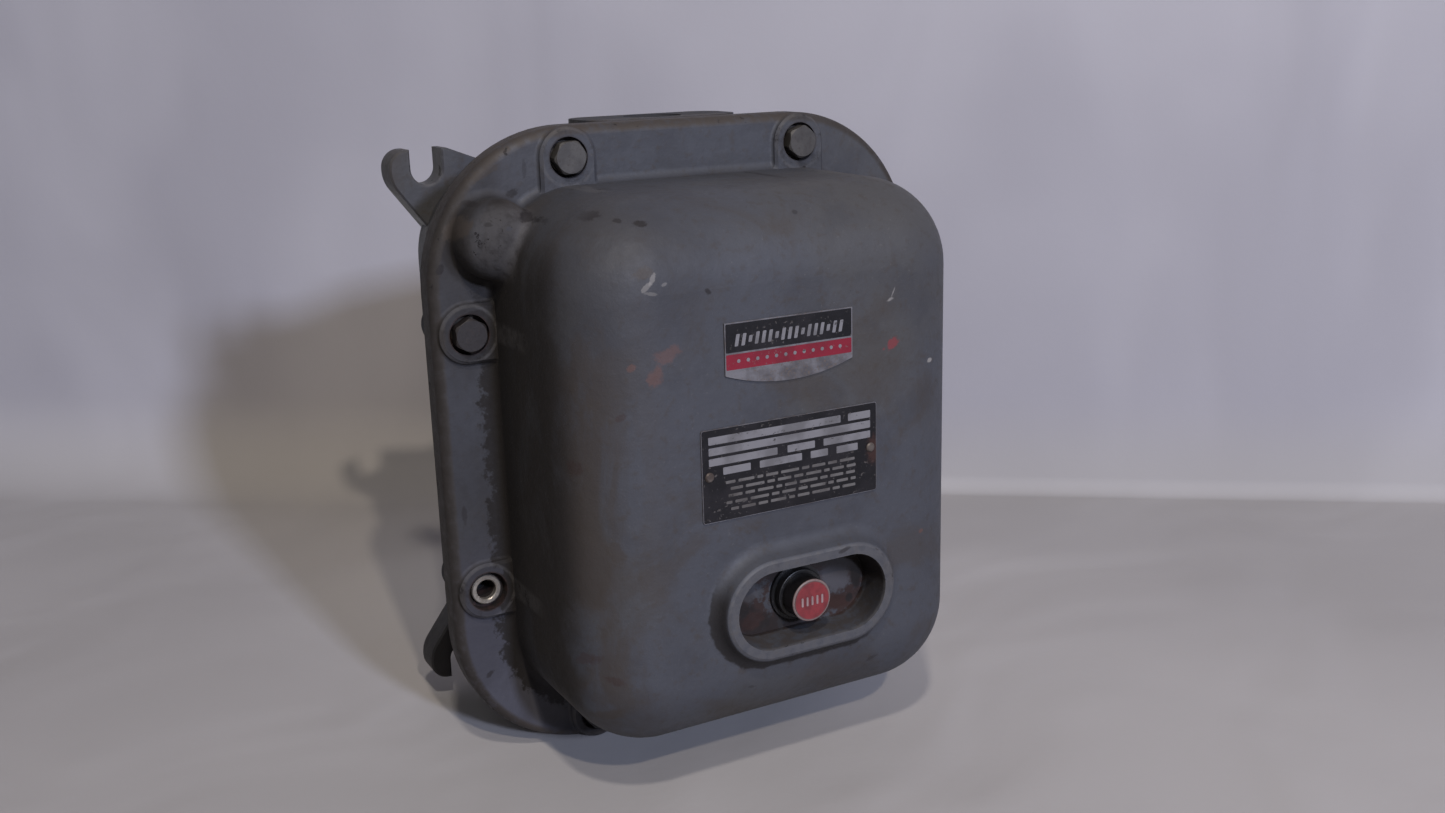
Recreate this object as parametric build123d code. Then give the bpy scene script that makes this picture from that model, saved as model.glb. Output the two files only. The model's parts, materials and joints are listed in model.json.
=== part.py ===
from build123d import *
import os
from math import radians, tan

# Magnetic motor starter in a bolted cast enclosure. All sizes in millimetres.
# +X right, +Y back (towards the wall), +Z up; the origin is the centre of the wall face.

# ---- enclosure ----
flange_w = 228.0            # cover flange, side to side
flange_h = 266.0            # cover flange, top to bottom
flange_r = 62.0
flange_t = 12.0
flange_edge_r = 4.0
joint_y = -71.5             # ground joint between base and cover
body_w = flange_w - 50       # cover body at the flange face
body_h = flange_h - 47
body_r = 36.5
body_depth = 82.0           # flange face to front face
body_draft = 0.5            # degrees
body_nose_r = body_r - 3.5   # rounding between the walls and the front face
body_foot_r = 3.5           # blend between the walls and the flange
wall = 6.0

# ---- base ----
base_w = flange_w - 36
base_h = flange_h - 30
base_r = 44.0
base_draft = 1.5
rim_w = flange_w - 8         # base flange behind the joint
rim_h = flange_h - 8
rim_r = flange_r - 4
rim_t = 8.0
back_wall = 7.0
back_r = 6.0
hub_w = 72.0                # raised conduit hub pads, top and bottom
hub_d = 34.0
hub_r = 12.0
hub_y = -52.5
hub_draft = 3.0
hub_top_z = flange_h / 2 + 0.2
hub_bottom_z = flange_h / 2  # level with the flange, so that the starter stands square
top_entry_r = 12.7
bottom_entry_r = 10.5
entry_depth = 28.0          # past the wall into the hollow
stand_r = 7.0               # posts that carry the panel

# ---- mounting lugs ----
lug_t = 13.5
slot_x = base_w / 2 - 6.2
slot_r = 7.0
slot_floor_z = base_h / 2 - 11  # bottom of the slot arc
lug_tip_z = base_h / 2 + 4.3
lug_outer_x = base_w / 2 + 10
lug_tip_r = 8.0
lug_edge_z = base_h / 2 - 23  # where the ear's outer edge leaves the base
lug_slope = 1.35            # rise of the ear's outer edge
lug_shoulder_r = 14.0
lug_prong = 2.5             # inner prong beside the slot
lug_fall_x = 25.0           # fall of the inner edge towards the base
lug_fall_z = 10.0
lug_root_x = base_w / 2 - 12  # root points inside the base wall
lug_inner_x = base_w / 2 - 46
lug_inner_z = base_h / 2 - 38
lug_edge = 0.8

# ---- cover bolts ----
bolt_r = 3.95
bolt_head_af = 12.7
bolt_head_h = 5.4
bolt_corner = 0.65          # turned corners beyond the flats
bolt_chamfer = 0.8
bolt_top_x = 54.0
bolt_top_z = flange_h / 2 - 12.4
bolt_side_x = flange_w / 2 - 13.8
bolt_side_z = 54.2
bolt_grip = 14.0            # thread in the base
bolt_turns = [10, 4, 50, 20, 45, 30, 15, 40]  # degrees at which each head came to rest
collar_r = 6.3
collar_bore_r = bolt_r + 0.25
collar_t = 2.8
collar_chamfer = 0.4
pad_r = 12.0
pad_h = 3.0
pad_foot_r = 1.5
pad_edge = 1.2
counterbore_r = 8.2
counterbore_depth = 5.2     # from the pad face
boss_r = 9.8                # bosses on the back of the base flange
boss_h = 9.0
hole_clearance = 0.3        # clearance holes, on the radius
tap_fit = 0.05              # tapped and pressed holes, on the radius

# ---- corner lobe ----
lobe_x = 0.5 - body_w / 2
lobe_z = body_h / 2 - 18
lobe_r = 16.0
lobe_h = 22.0
lobe_wall = 4.5
lobe_nose_r = lobe_r - 1.5

# ---- reset well ----
well_x = 5.0
well_z = -52.5
well_half_l = 38.6          # outer rim, half length
well_half_h = 20.5          # outer rim, half height
well_rim = 4.3              # width of the rim
well_proud = 6.5
well_depth = 15.0           # rim to floor
well_draft = 5.0
well_wall = 5.0
well_flank = 28.0           # slope of the rim's flank
well_foot_r = 6.0           # blend between the flank and the front face
well_edge = 0.9

# ---- nameplates ----
plate_x = -0.8
plate_t = 0.8
data_w = 79.0
data_h = 36.6
data_z = 5.0
badge_w = 56.6
badge_h = 25.0
badge_z = 50.4
badge_sag = 5.0             # bow of the badge's lower edge
plate_corner_r = 1.0
pin_half = 36.5             # pins either side of the plate's middle
pin_r = 1.1
pin_head_r = 1.9
pin_head_h = 0.9
pin_edge = 0.5
pin_l = 5.0

# ---- reset button ----
button_r = 8.8
button_recess = 1.8         # face behind the rim at rest
button_travel = 5.5
disc_r = 7.9
disc_t = 1.2
guide_r = 10.4
guide_collar_r = 11.8
guide_collar_t = 1.6
guide_thread_r = 9.8
guide_edge_r = 0.5
guide_tip = 8.0             # guide's mouth behind the button's face
guide_tail = 9.0            # thread behind the well floor's inner side
guide_seat = 5.0            # spring seat behind the well floor's inner side
nut_af = 24.0
nut_t = 4.0
fit_gap = 0.08              # running fit, on the radius
stem_r = 4.0
button_edge_r = 0.6
disc_proud = 0.2
stem_tail = 20.0            # stem past the floor's inner side
head_tail = 6.5            # head's back in front of the floor's inner side
clip_r = 7.0
clip_t = 1.2
clip_bite = 0.8             # depth of the clip's groove
spring_gap = 0.3

# ---- panel ----
panel_back_y = -13.0
panel_w = base_w - 36
panel_h = base_h - 40
panel_t = 2.5
panel_r = 12.0
panel_screw_x = panel_w / 2 - 16
panel_screw_z = panel_h / 2 - 20
screw_r = 2.4               # all the small screws
screw_head_r = 4.2
screw_head_h = 2.8
screw_l = 7.0

# ---- contactor ----
contactor_z = 50.0
contactor_w = 84.0
contactor_h = 88.0
moulding = 4.0
tray_depth = 42.5
ear_w = 15.0
ear_h = 14.0
ear_t = 6.0
ear_screw_x = 47.0
ear_screw_z = 30.0
core_w = 56.0
core_stack = 18.0
core_bar = 10.0             # bar behind the poles
core_pole_w = 8.0           # outer poles
core_centre_w = 16.0
core_depth = 30.0
magnet_gap = 6.0
magnet_travel = 5.8
armature_depth = 18.0
coil_play = 0.4
bobbin_wall = 1.5
bobbin_flange_t = 2.0
coil_gap = 0.1
coil_end_z = 10.5           # winding beyond the stack, top and bottom
pole_pitch = 26.0
chamber_w = 21.0
arc_depth = 46.0
arc_floor = 20.0            # tray mouth to the chambers' floor
arc_cover_t = 3.0
crosshead_gap = 1.0         # round the crosshead in its way
saddle_t = 5.0
arm_x = 33.0
arm_half_z = 5.0
arm_half_w = 38.0
tongue_half_z = 4.5
tongue_front = 22.0         # saddle front to tongue front
tongue_bar = 2.5            # bar across the front of each window
bridge_w = 9.0
bridge_half_l = 21.0
bridge_t = 2.5
tip_t = 1.6
tip_r = 3.4
tip_z = 17.0
contact_gap = 4.4
overtravel = 1.3
strip_t = 2.0
strip_w = 9.0
strip_inner_z = 12.8
strip_outer_z = 43.0
terminal_z = 36.0
kick_coil_r = 3.4
contact_coil_r = 2.4
post_w = 9.0                # posts under the kick-out springs
post_h = 14.0
kick_seat_y = -45.0
wire_r = 0.6

# ---- overload relay ----
relay_z = -60.0
relay_w = 88.0
relay_h = 72.0
relay_depth = 31.5
foot_w = 13.0
foot_h = 16.0
channel_half_w = 10.0
channel_low_z = -90.0
channel_high_z = -38.0
channel_floor_y = -24.0
heater_x = 29.0
heater_w = 16.0
heater_h = 50.0
heater_t = 1.5
heater_recess = 9.0
heater_pot_r = 6.5
heater_pot_l = 12.0
heater_screw_z = 20.0
rod_r = 3.0
rod_collar_r = 5.5
rod_collar_t = 2.0
rod_spring_l = 10.0
lever_pivot_y = -36.0
lever_pivot_z = -72.0
lever_hub_r = 4.0
lever_w = 10.0
lever_t = 3.0
pivot_pin_r = 1.5
bracket_t = 2.0
bracket_reach = 24.0        # relay front to the bridge
bracket_half_w = 15.0
bracket_half_h = 8.0
strap_t = 1.2
strap_w = 10.0
strap_drop_z = -12.0        # where the straps turn back to the relay

face_y = joint_y - flange_t - body_depth
flange_face_y = joint_y - flange_t
rim_y = face_y - well_proud
pad_y = flange_face_y - pad_h
counterbore_y = pad_y + counterbore_depth
floor_y = rim_y + well_depth
panel_front_y = panel_back_y - panel_t
tray_front_y = panel_front_y - tray_depth
core_back_y = panel_front_y - moulding - 0.3
core_face_y = core_back_y - core_depth
armature_face_y = core_face_y - magnet_gap
bobbin_back_y = core_back_y - core_bar - 0.2
bobbin_front_y = core_face_y + 0.3
armature_front_y = armature_face_y - armature_depth
arc_front_y = tray_front_y - arc_depth
chamber_floor_y = tray_front_y - arc_floor
saddle_front_y = armature_front_y - saddle_t
strip_front_y = chamber_floor_y - strip_t
fixed_tip_y = strip_front_y - tip_t
bridge_back_y = fixed_tip_y - contact_gap - tip_t
bridge_front_y = bridge_back_y - bridge_t
tongue_front_y = saddle_front_y - tongue_front
bridge_stop_y = tongue_front_y + tongue_bar
button_face_y = rim_y + button_recess
guide_tip_y = button_face_y + guide_tip
floor_back_y = floor_y + well_wall
stem_end_y = floor_back_y + stem_tail
head_back_y = floor_back_y - head_tail
guide_tail_y = floor_back_y + guide_tail
spring_seat_y = floor_back_y + guide_seat
clip_front_y = guide_tail_y + spring_gap
clip_back_y = clip_front_y + clip_t
relay_front_y = panel_front_y - relay_depth
poles = [-pole_pitch, 0.0, pole_pitch]
relay_foot_x = relay_w / 2 + 5.5
heater_front_y = relay_front_y + heater_recess - heater_t
bracket_front_y = relay_front_y - bracket_reach - bracket_t
lever_contact_z = lever_pivot_z - 13
fixed_button_y = lever_pivot_y + lever_t / 2 + 3.3
rod_tail_y = lever_pivot_y - lever_t / 2 - 0.3


def facing(y):
    return Plane(origin=(0, y, 0), x_dir=(1, 0, 0), z_dir=(0, -1, 0))


def slab(outline, y_back, y_front, taper=0):
    """A prism of an X-Z outline between two depths, narrowing towards the front."""
    return extrude(facing(y_back) * outline, amount=y_back - y_front, taper=taper)


def rod(x, z, radius, y_back, y_front):
    return slab(Pos(x, z) * Circle(radius), y_back, y_front)


def mirrored(shape):
    """The shape and its three mirror copies about the X and Z centre planes."""
    left = shape.mirror(Plane.YZ)
    return [shape, left, shape.mirror(Plane.XY), left.mirror(Plane.XY)]


def front_edges(shape, y):
    return shape.edges().filter_by_position(Axis.Y, y - 0.01, y + 0.01)


def top_bolts():
    return [(sx * bolt_top_x, sz * bolt_top_z) for sx in (-1, 1) for sz in (-1, 1)]


def side_bolts():
    return [(sx * bolt_side_x, sz * bolt_side_z) for sx in (-1, 1) for sz in (-1, 1)]


def body_shell(offset, y_back, y_front):
    """The cover's drafted, rounded body, shrunk by a wall for the hollow."""
    shrink = 2 * offset
    # the draft is measured from the flange face
    grow = 2 * (y_back - flange_face_y) * tan(radians(body_draft))
    outline = RectangleRounded(
        body_w - shrink + grow, body_h - shrink + grow, body_r - offset + grow / 2
    )
    body = slab(outline, y_back, y_front, body_draft)
    return fillet(front_edges(body, y_front), body_nose_r - offset)


def union(shapes):
    whole = shapes[0]
    for shape in shapes[1:]:
        whole = whole + shape
    return whole


def obround(half_l, half_h):
    return Pos(well_x, well_z) * SlotOverall(2 * half_l, 2 * half_h)


def bolt_pad(x, z, reach_x, reach_z):
    """A tongue from the body wall out to a bolt, with a round end."""
    width = abs(reach_x) if reach_x else 2 * pad_r
    height = abs(reach_z) if reach_z else 2 * pad_r
    tongue = Pos(x - reach_x / 2, z - reach_z / 2) * Rectangle(width, height)
    return slab(Pos(x, z) * Circle(pad_r) + tongue, joint_y - 1, pad_y)


def bolt_pads():
    top_reach = bolt_top_z - body_h / 2 + body_foot_r
    side_reach = bolt_side_x - body_w / 2 + body_foot_r
    pads = [bolt_pad(x, z, 0, top_reach * z / abs(z)) for x, z in top_bolts()]
    return pads + [bolt_pad(x, z, side_reach * x / abs(x), 0) for x, z in side_bolts()]


def round_edges(shape, y, radius):
    """The arcs of one radius among the edges at a depth."""
    arcs = front_edges(shape, y).filter_by(GeomType.CIRCLE)
    return [edge for edge in arcs if abs(edge.radius - radius) < 0.01]


def corner_lobe(radius, y_back, y_front, nose):
    lobe = rod(lobe_x, lobe_z, radius, y_back, y_front)
    return fillet(front_edges(lobe, y_front), nose)


def same_middle(edge, others):
    return any((edge @ 0.5 - other @ 0.5).length < 0.1 for other in others)


def beside_lobe(edge):
    middle = edge.center()
    reach = ((middle.X - lobe_x) ** 2 + (middle.Z - lobe_z) ** 2) ** 0.5
    return reach < lobe_r + 2 and middle.Y < flange_face_y - 1


def cover_outside():
    flange = slab(RectangleRounded(flange_w, flange_h, flange_r), joint_y, flange_face_y)
    flange = fillet(front_edges(flange, flange_face_y), flange_edge_r)
    lobe = corner_lobe(lobe_r, joint_y - 1, flange_face_y - lobe_h, lobe_nose_r)
    cover = flange + (body_shell(0, joint_y, face_y) + lobe)
    outline = front_edges(flange, flange_face_y)
    feet = [edge for edge in front_edges(cover, flange_face_y) if not same_middle(edge, outline)]
    seam = [edge for edge in cover.edges().filter_by(GeomType.BSPLINE) if beside_lobe(edge)]
    cover = union([fillet(feet + seam, body_foot_r)] + bolt_pads())
    cover = fillet(round_edges(cover, flange_face_y, pad_r), pad_foot_r)
    cover = chamfer(round_edges(cover, pad_y, pad_r), pad_edge)
    cover = cover + well_boss()
    ring_edges = [edge for edge in front_edges(cover, face_y) if beside_well(edge)]
    return fillet(ring_edges, well_foot_r)


def beside_well(edge):
    middle = edge.center()
    return abs(middle.X - well_x) < well_half_l + 12 and abs(middle.Z - well_z) < well_half_h + 6


def well_boss():
    """The raised obround rim round the reset well, on a sloping flank."""
    root_y = face_y + 4
    spread = (root_y - rim_y) * tan(radians(well_flank))
    outline = obround(well_half_l + spread, well_half_h + spread)
    boss = slab(outline, root_y, rim_y, well_flank)
    return chamfer(front_edges(boss, rim_y), well_edge)


def well_pocket(grow, y_back, y_front):
    narrow = well_depth * tan(radians(well_draft))
    half_l = well_half_l - well_rim - narrow + grow
    half_h = well_half_h - well_rim - narrow + grow
    return slab(obround(half_l, half_h), y_back, y_front, -well_draft)


def cover_casting():
    hollow = body_shell(wall, joint_y + 1, face_y + wall)
    lobe_front = flange_face_y - lobe_h + lobe_wall
    hollow = hollow + corner_lobe(lobe_r - lobe_wall, joint_y + 1, lobe_front, lobe_nose_r - lobe_wall)
    hollow = hollow - well_pocket(well_wall, floor_back_y, face_y)
    cover = cover_outside() - hollow - well_pocket(0, floor_y, rim_y - 1)
    cover = cover - rod(well_x, well_z, guide_thread_r + hole_clearance / 2, joint_y, rim_y)
    for side in (-1, 1):
        pin_x = plate_x + side * pin_half
        cover = cover - rod(pin_x, data_z, pin_r + tap_fit, face_y + wall - 0.3, face_y - 1)
    for x, z in top_bolts() + side_bolts():
        cover = cover - rod(x, z, counterbore_r, counterbore_y, pad_y - bolt_head_h)
        cover = cover - rod(x, z, bolt_r + hole_clearance, joint_y + 1, flange_face_y)
    return cover


def lug():
    """The upper right mounting ear, with its slot open upwards."""
    root_z = lug_edge_z - (base_w / 2 - lug_root_x) * lug_slope
    shoulder_z = lug_edge_z + (lug_outer_x - base_w / 2) * lug_slope
    inner_x = slot_x - slot_r - lug_prong
    outline = Polygon(
        (lug_root_x, root_z), (lug_outer_x, shoulder_z), (lug_outer_x, lug_tip_z),
        (inner_x, lug_tip_z), (inner_x - lug_fall_x, lug_tip_z - lug_fall_z),
        (lug_inner_x, lug_inner_z), align=None,
    )
    corner = outline.vertices().sort_by_distance((lug_outer_x, lug_tip_z, 0))[0]
    outline = fillet(corner, lug_tip_r)
    shoulder = outline.vertices().sort_by_distance((lug_outer_x, shoulder_z, 0))[0]
    outline = fillet(shoulder, lug_shoulder_r)
    centre_z = slot_floor_z + slot_r
    open_h = lug_tip_z - centre_z + 2
    slot = Pos(slot_x, centre_z) * Circle(slot_r)
    slot = slot + Pos(slot_x, centre_z + open_h / 2) * Rectangle(2 * slot_r, open_h)
    ear = slab(outline - slot, 0, -lug_t)
    return chamfer(front_edges(ear, -lug_t), lug_edge)


def conduit_hub(side, face_z):
    """A flat hub pad on the top (side 1) or bottom (side -1) of the base."""
    root_z = base_h / 2 - wall
    plane = Plane(origin=(0, hub_y, side * root_z), x_dir=(1, 0, 0), z_dir=(0, 0, side))
    grow = (face_z - root_z) * tan(radians(hub_draft))
    outline = RectangleRounded(hub_w + 2 * grow, hub_d + 2 * grow, hub_r + grow)
    return extrude(plane * outline, amount=face_z - root_z, taper=hub_draft)


def conduit_bore(side, face_z, radius):
    plane = Plane(origin=(0, hub_y, side * face_z), x_dir=(1, 0, 0), z_dir=(0, 0, -side))
    return extrude(plane * Circle(radius), amount=entry_depth)


def base_box(offset, y_back):
    """The base's drafted box, narrowing towards the wall."""
    grow = 2 * (y_back - joint_y) * tan(radians(base_draft))
    outline = RectangleRounded(
        base_w - 2 * offset - grow, base_h - 2 * offset - grow, base_r - offset - grow / 2
    )
    box = slab(outline, y_back, joint_y, -base_draft)
    return fillet(box.edges().filter_by_position(Axis.Y, y_back - 0.01, y_back + 0.01), back_r - offset / 2)


def base_casting():
    bolt_points = top_bolts() + side_bolts()
    base = base_box(0, 0) + slab(RectangleRounded(rim_w, rim_h, rim_r), joint_y + rim_t, joint_y)
    bosses = [rod(x, z, boss_r, joint_y + rim_t + boss_h, joint_y) for x, z in bolt_points]
    hubs = [conduit_hub(1, hub_top_z), conduit_hub(-1, hub_bottom_z)]
    base = union([base] + bosses + hubs + mirrored(lug()))
    base = base - base_box(wall, -back_wall)
    stands = [rod(x, z, stand_r, -back_wall + 1, panel_back_y) for x, z in panel_points()]
    base = union([base] + stands)
    tap_y = panel_front_y + screw_l + 0.2
    for x, z in panel_points():
        base = base - rod(x, z, screw_r + tap_fit, tap_y, panel_back_y - 1)
    for x, z in bolt_points:
        base = base - rod(x, z, bolt_r + tap_fit, joint_y + bolt_grip + 1, joint_y - 1)
    base = base - conduit_bore(1, hub_top_z, top_entry_r)
    return base - conduit_bore(-1, hub_bottom_z, bottom_entry_r)


def panel_points():
    return [(sx * panel_screw_x, sz * panel_screw_z) for sx in (-1, 1) for sz in (-1, 1)]


def hex_bolt(x, z, turn):
    """A hexagon screw with the corners of its head turned off."""
    seat_y = counterbore_y - collar_t
    hexagon = Pos(x, z) * RegularPolygon(bolt_head_af / 2, 6, major_radius=False, rotation=turn)
    head = slab(hexagon, seat_y, seat_y - bolt_head_h)
    turned = rod(x, z, bolt_head_af / 2 + bolt_corner, seat_y, seat_y - bolt_head_h)
    turned = chamfer(front_edges(turned, seat_y - bolt_head_h), bolt_chamfer)
    return (head & turned) + rod(x, z, bolt_r, joint_y + bolt_grip, seat_y)


def bolt_collar(x, z):
    front = counterbore_y - collar_t
    collar = ring(x, z, collar_r, collar_bore_r, counterbore_y, front)
    return chamfer(front_edges(collar, front), collar_chamfer)


def ring(x, z, outer_r, inner_r, y_back, y_front):
    return rod(x, z, outer_r, y_back, y_front) - rod(x, z, inner_r, y_back + 1, y_front - 1)


def block(x, z, width, height, y_back, y_front, corner=0):
    outline = RectangleRounded(width, height, corner) if corner else Rectangle(width, height)
    return slab(Pos(x, z) * outline, y_back, y_front)


def spring(x, z, coil_r, y_back, y_front):
    """A hidden coil spring: a tube one wire thick, just clear of both seats."""
    back = y_back - spring_gap
    return ring(x, z, coil_r + wire_r, coil_r - wire_r, back, y_front + spring_gap)


def pan_screw(x, z, length, seat_y):
    head = rod(x, z, screw_head_r, seat_y, seat_y - screw_head_h)
    return head + rod(x, z, screw_r, seat_y + length, seat_y)


def data_plate():
    plate = block(plate_x, data_z, data_w, data_h, face_y, face_y - plate_t, plate_corner_r)
    for side in (-1, 1):
        plate = plate - rod(plate_x + side * pin_half, data_z, pin_r + 2 * tap_fit, face_y + 1, face_y - 2)
    return plate


def badge_plate():
    """A plain shield: straight sides and top, bowed lower edge."""
    low_z = -badge_h / 2 + badge_sag
    half = badge_w / 2
    top = Line((-half, badge_h / 2), (half, badge_h / 2))
    right = Line((half, badge_h / 2), (half, low_z))
    bow = ThreePointArc((half, low_z), (0, -badge_h / 2), (-half, low_z))
    left = Line((-half, low_z), (-half, badge_h / 2))
    outline = make_face(Curve() + [top, right, bow, left])
    return slab(Pos(plate_x, badge_z) * outline, face_y, face_y - plate_t)


def plate_pin(side):
    x = plate_x + side * pin_half
    seat_y = face_y - plate_t
    front = seat_y - pin_head_h
    head = chamfer(front_edges(rod(x, data_z, pin_head_r, seat_y, front), front), pin_edge)
    return head + rod(x, data_z, pin_r, seat_y + pin_l, seat_y)


def reset_button():
    """The black plunger: a head with a recess for the disc, and a stem to the inside."""
    head = rod(well_x, well_z, button_r, head_back_y, button_face_y)
    head = fillet(front_edges(head, button_face_y), button_edge_r)
    recess = rod(well_x, well_z, disc_r + tap_fit, button_face_y + disc_t, button_face_y - 1)
    stem = rod(well_x, well_z, stem_r, stem_end_y, head_back_y)
    groove_back = clip_back_y + tap_fit
    groove_front = clip_front_y - tap_fit
    groove = ring(well_x, well_z, stem_r + 1, stem_r - clip_bite, groove_back, groove_front)
    return head - recess + stem - groove


def reset_disc():
    return rod(well_x, well_z, disc_r, button_face_y + disc_t, button_face_y - disc_proud)


def reset_guide():
    """The threaded bush that carries the button through the well floor."""
    body = rod(well_x, well_z, guide_r, floor_y, guide_tip_y)
    body = fillet(front_edges(body, guide_tip_y), guide_edge_r)
    collar = rod(well_x, well_z, guide_collar_r, floor_y, floor_y - guide_collar_t)
    thread = rod(well_x, well_z, guide_thread_r, guide_tail_y, floor_y)
    bore = rod(well_x, well_z, button_r + fit_gap, spring_seat_y, guide_tip_y - 1)
    stem_bore = rod(well_x, well_z, stem_r + fit_gap, guide_tail_y + 1, guide_tip_y)
    return body + collar + thread - bore - stem_bore


def reset_nut():
    back = floor_back_y + nut_t
    hexagon = Pos(well_x, well_z) * RegularPolygon(nut_af / 2, 6, major_radius=False)
    thread = rod(well_x, well_z, guide_thread_r + tap_fit, back + 1, floor_back_y - 1)
    return slab(hexagon, back, floor_back_y) - thread


def reset_clip():
    inner_r = stem_r - clip_bite + tap_fit
    return ring(well_x, well_z, clip_r, inner_r, clip_back_y, clip_front_y)


def reset_spring():
    coil_r = (stem_r + button_r) / 2
    return spring(well_x, well_z, coil_r, spring_seat_y, head_back_y)


def mounting_panel():
    panel = block(0, 0, panel_w, panel_h, panel_back_y, panel_front_y, panel_r)
    for x, z in panel_points():
        panel = panel - rod(x, z, screw_r + hole_clearance, 0, panel_front_y - 1)
    for x, z in ear_points() + relay_points():
        panel = panel - rod(x, z, screw_r + tap_fit, 0, panel_front_y - 1)
    return panel


def ear_points():
    return [
        (sx * ear_screw_x, contactor_z + sz * ear_screw_z) for sx in (-1, 1) for sz in (-1, 1)
    ]


def relay_points():
    return [(sx * relay_foot_x, relay_z) for sx in (-1, 1)]


def foot_screw(x, z):
    """A screw through a moulded foot into the panel."""
    seat_y = panel_front_y - ear_t
    return pan_screw(x, z, ear_t + panel_t, seat_y)


def contactor_tray():
    """The moulded tray that holds the magnet, with four screw ears."""
    tray = block(0, contactor_z, contactor_w, contactor_h, panel_front_y, tray_front_y, moulding)
    inside_w = contactor_w - 2 * moulding
    inside_h = contactor_h - 2 * moulding
    floor = panel_front_y - moulding
    hollow = block(0, contactor_z, inside_w, inside_h, floor, tray_front_y - 1, moulding / 2)
    tray = tray - hollow
    rib_w = inside_w / 2 - arm_x + 1
    for side in (-1, 1):
        post = block(side * arm_x, contactor_z, post_w, post_h, floor + 1, kick_seat_y)
        rib_x = side * (arm_x + rib_w / 2)
        tray = tray + post + block(rib_x, contactor_z, rib_w, post_h - 4, floor + 1, kick_seat_y)
    for x, z in ear_points():
        ear = block(x, z, ear_w, ear_h, panel_front_y, panel_front_y - ear_t, 3)
        ear = ear - block(0, contactor_z, inside_w, inside_h, 0, tray_front_y)
        hole = rod(x, z, screw_r + hole_clearance, 0, panel_front_y - ear_t - 1)
        tray = tray + ear - hole
    return tray


def e_core(y_back, y_front, window_back, window_front):
    """A laminated E: a bar with two outer poles and a wide centre pole."""
    core = block(0, contactor_z, core_w, core_stack, y_back, y_front)
    window_w = (core_w - core_centre_w) / 2 - core_pole_w
    window_x = (core_centre_w + window_w) / 2
    window_h = core_stack + 2
    for side in (-1, 1):
        x = side * window_x
        core = core - block(x, contactor_z, window_w, window_h, window_back, window_front)
    return core


def magnet_core():
    return e_core(core_back_y, core_face_y, core_back_y - core_bar, core_face_y - 1)


def armature():
    bar_y = armature_front_y + core_bar
    return e_core(armature_face_y, armature_front_y, armature_face_y + 1, bar_y)


def coil_bobbin():
    inner_w = core_centre_w + 2 * coil_play
    inner_h = core_stack + 2 * coil_play
    outer_w = core_w - 2 * core_pole_w - 2 * coil_play
    outer_h = core_stack + 2 * coil_end_z
    barrel_w = inner_w + 2 * bobbin_wall
    barrel_h = inner_h + 2 * bobbin_wall
    front_inner = bobbin_front_y + bobbin_flange_t
    back_inner = bobbin_back_y - bobbin_flange_t
    barrel = block(0, contactor_z, barrel_w, barrel_h, bobbin_back_y, bobbin_front_y)
    low = block(0, contactor_z, outer_w, outer_h, bobbin_back_y, back_inner, 1)
    high = block(0, contactor_z, outer_w, outer_h, front_inner, bobbin_front_y, 1)
    bore = block(0, contactor_z, inner_w, inner_h, bobbin_back_y + 1, bobbin_front_y - 1)
    return barrel + low + high - bore


def coil_winding():
    inner_w = core_centre_w + 2 * (coil_play + bobbin_wall + coil_gap)
    inner_h = core_stack + 2 * (coil_play + bobbin_wall + coil_gap)
    outer_w = core_w - 2 * (core_pole_w + coil_play + 1)
    outer_h = core_stack + 2 * coil_end_z - 2
    back = bobbin_back_y - bobbin_flange_t - coil_gap
    front = bobbin_front_y + bobbin_flange_t + coil_gap
    whole = block(0, contactor_z, outer_w, outer_h, back, front, moulding)
    return whole - block(0, contactor_z, inner_w, inner_h, back + 1, front - 1)


def contact_carrier():
    """The moulded crosshead: saddle over the armature, spring arms, and a slotted tongue."""
    back = armature_front_y
    saddle = block(0, contactor_z, core_w + 4, core_stack, back, saddle_front_y, 2)
    arms = block(0, contactor_z, 2 * arm_half_w, 2 * arm_half_z, back, saddle_front_y, 2)
    tongue_w = 2 * (pole_pitch + bridge_w) - 2
    tongue = block(0, contactor_z, tongue_w, 2 * tongue_half_z, back, tongue_front_y, 1)
    carrier = saddle + arms + tongue
    window_w = bridge_w + 2 * spring_gap
    window_h = 2 * tongue_half_z + 2
    for x in poles:
        window = block(x, contactor_z, window_w, window_h, bridge_back_y + 0.4, bridge_stop_y)
        carrier = carrier - window
    return carrier


def contact_bridge(x):
    bar = block(x, contactor_z, bridge_w, 2 * bridge_half_l, bridge_back_y, bridge_front_y)
    for side in (-1, 1):
        bar = bar + rod(x, contactor_z + side * tip_z, tip_r, bridge_back_y + tip_t, bridge_back_y)
    return bar


def contact_spring(x):
    return spring(x, contactor_z, contact_coil_r, bridge_front_y, bridge_stop_y)


def kickout_spring(side):
    return spring(side * arm_x, contactor_z, kick_coil_r, kick_seat_y, armature_front_y)


def arc_housing():
    """The moulded contact block: three open-ended chambers round a central way for the crosshead."""
    height = contactor_h + 2 * moulding
    mouth = tray_front_y + 1
    over = arc_front_y - 1
    housing = block(0, contactor_z, contactor_w, height, tray_front_y, arc_front_y, moulding)
    way_w = 2 * (arm_half_w + crosshead_gap)
    way_h = core_stack + 2 * crosshead_gap
    housing = housing - block(0, contactor_z, way_w, way_h, mouth, over)
    coil_h = core_stack + 2 * coil_end_z + 2
    housing = housing - block(0, contactor_z, core_w, coil_h, mouth, tray_front_y - 3)
    for x in poles:
        housing = housing - block(x, contactor_z, chamber_w, height + 2, chamber_floor_y, over)
        for side in (-1, 1):
            z = contactor_z + side * terminal_z
            tap = rod(x, z, screw_r + tap_fit, strip_front_y + screw_l + 1, strip_front_y)
            housing = housing - tap
    return housing


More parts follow.
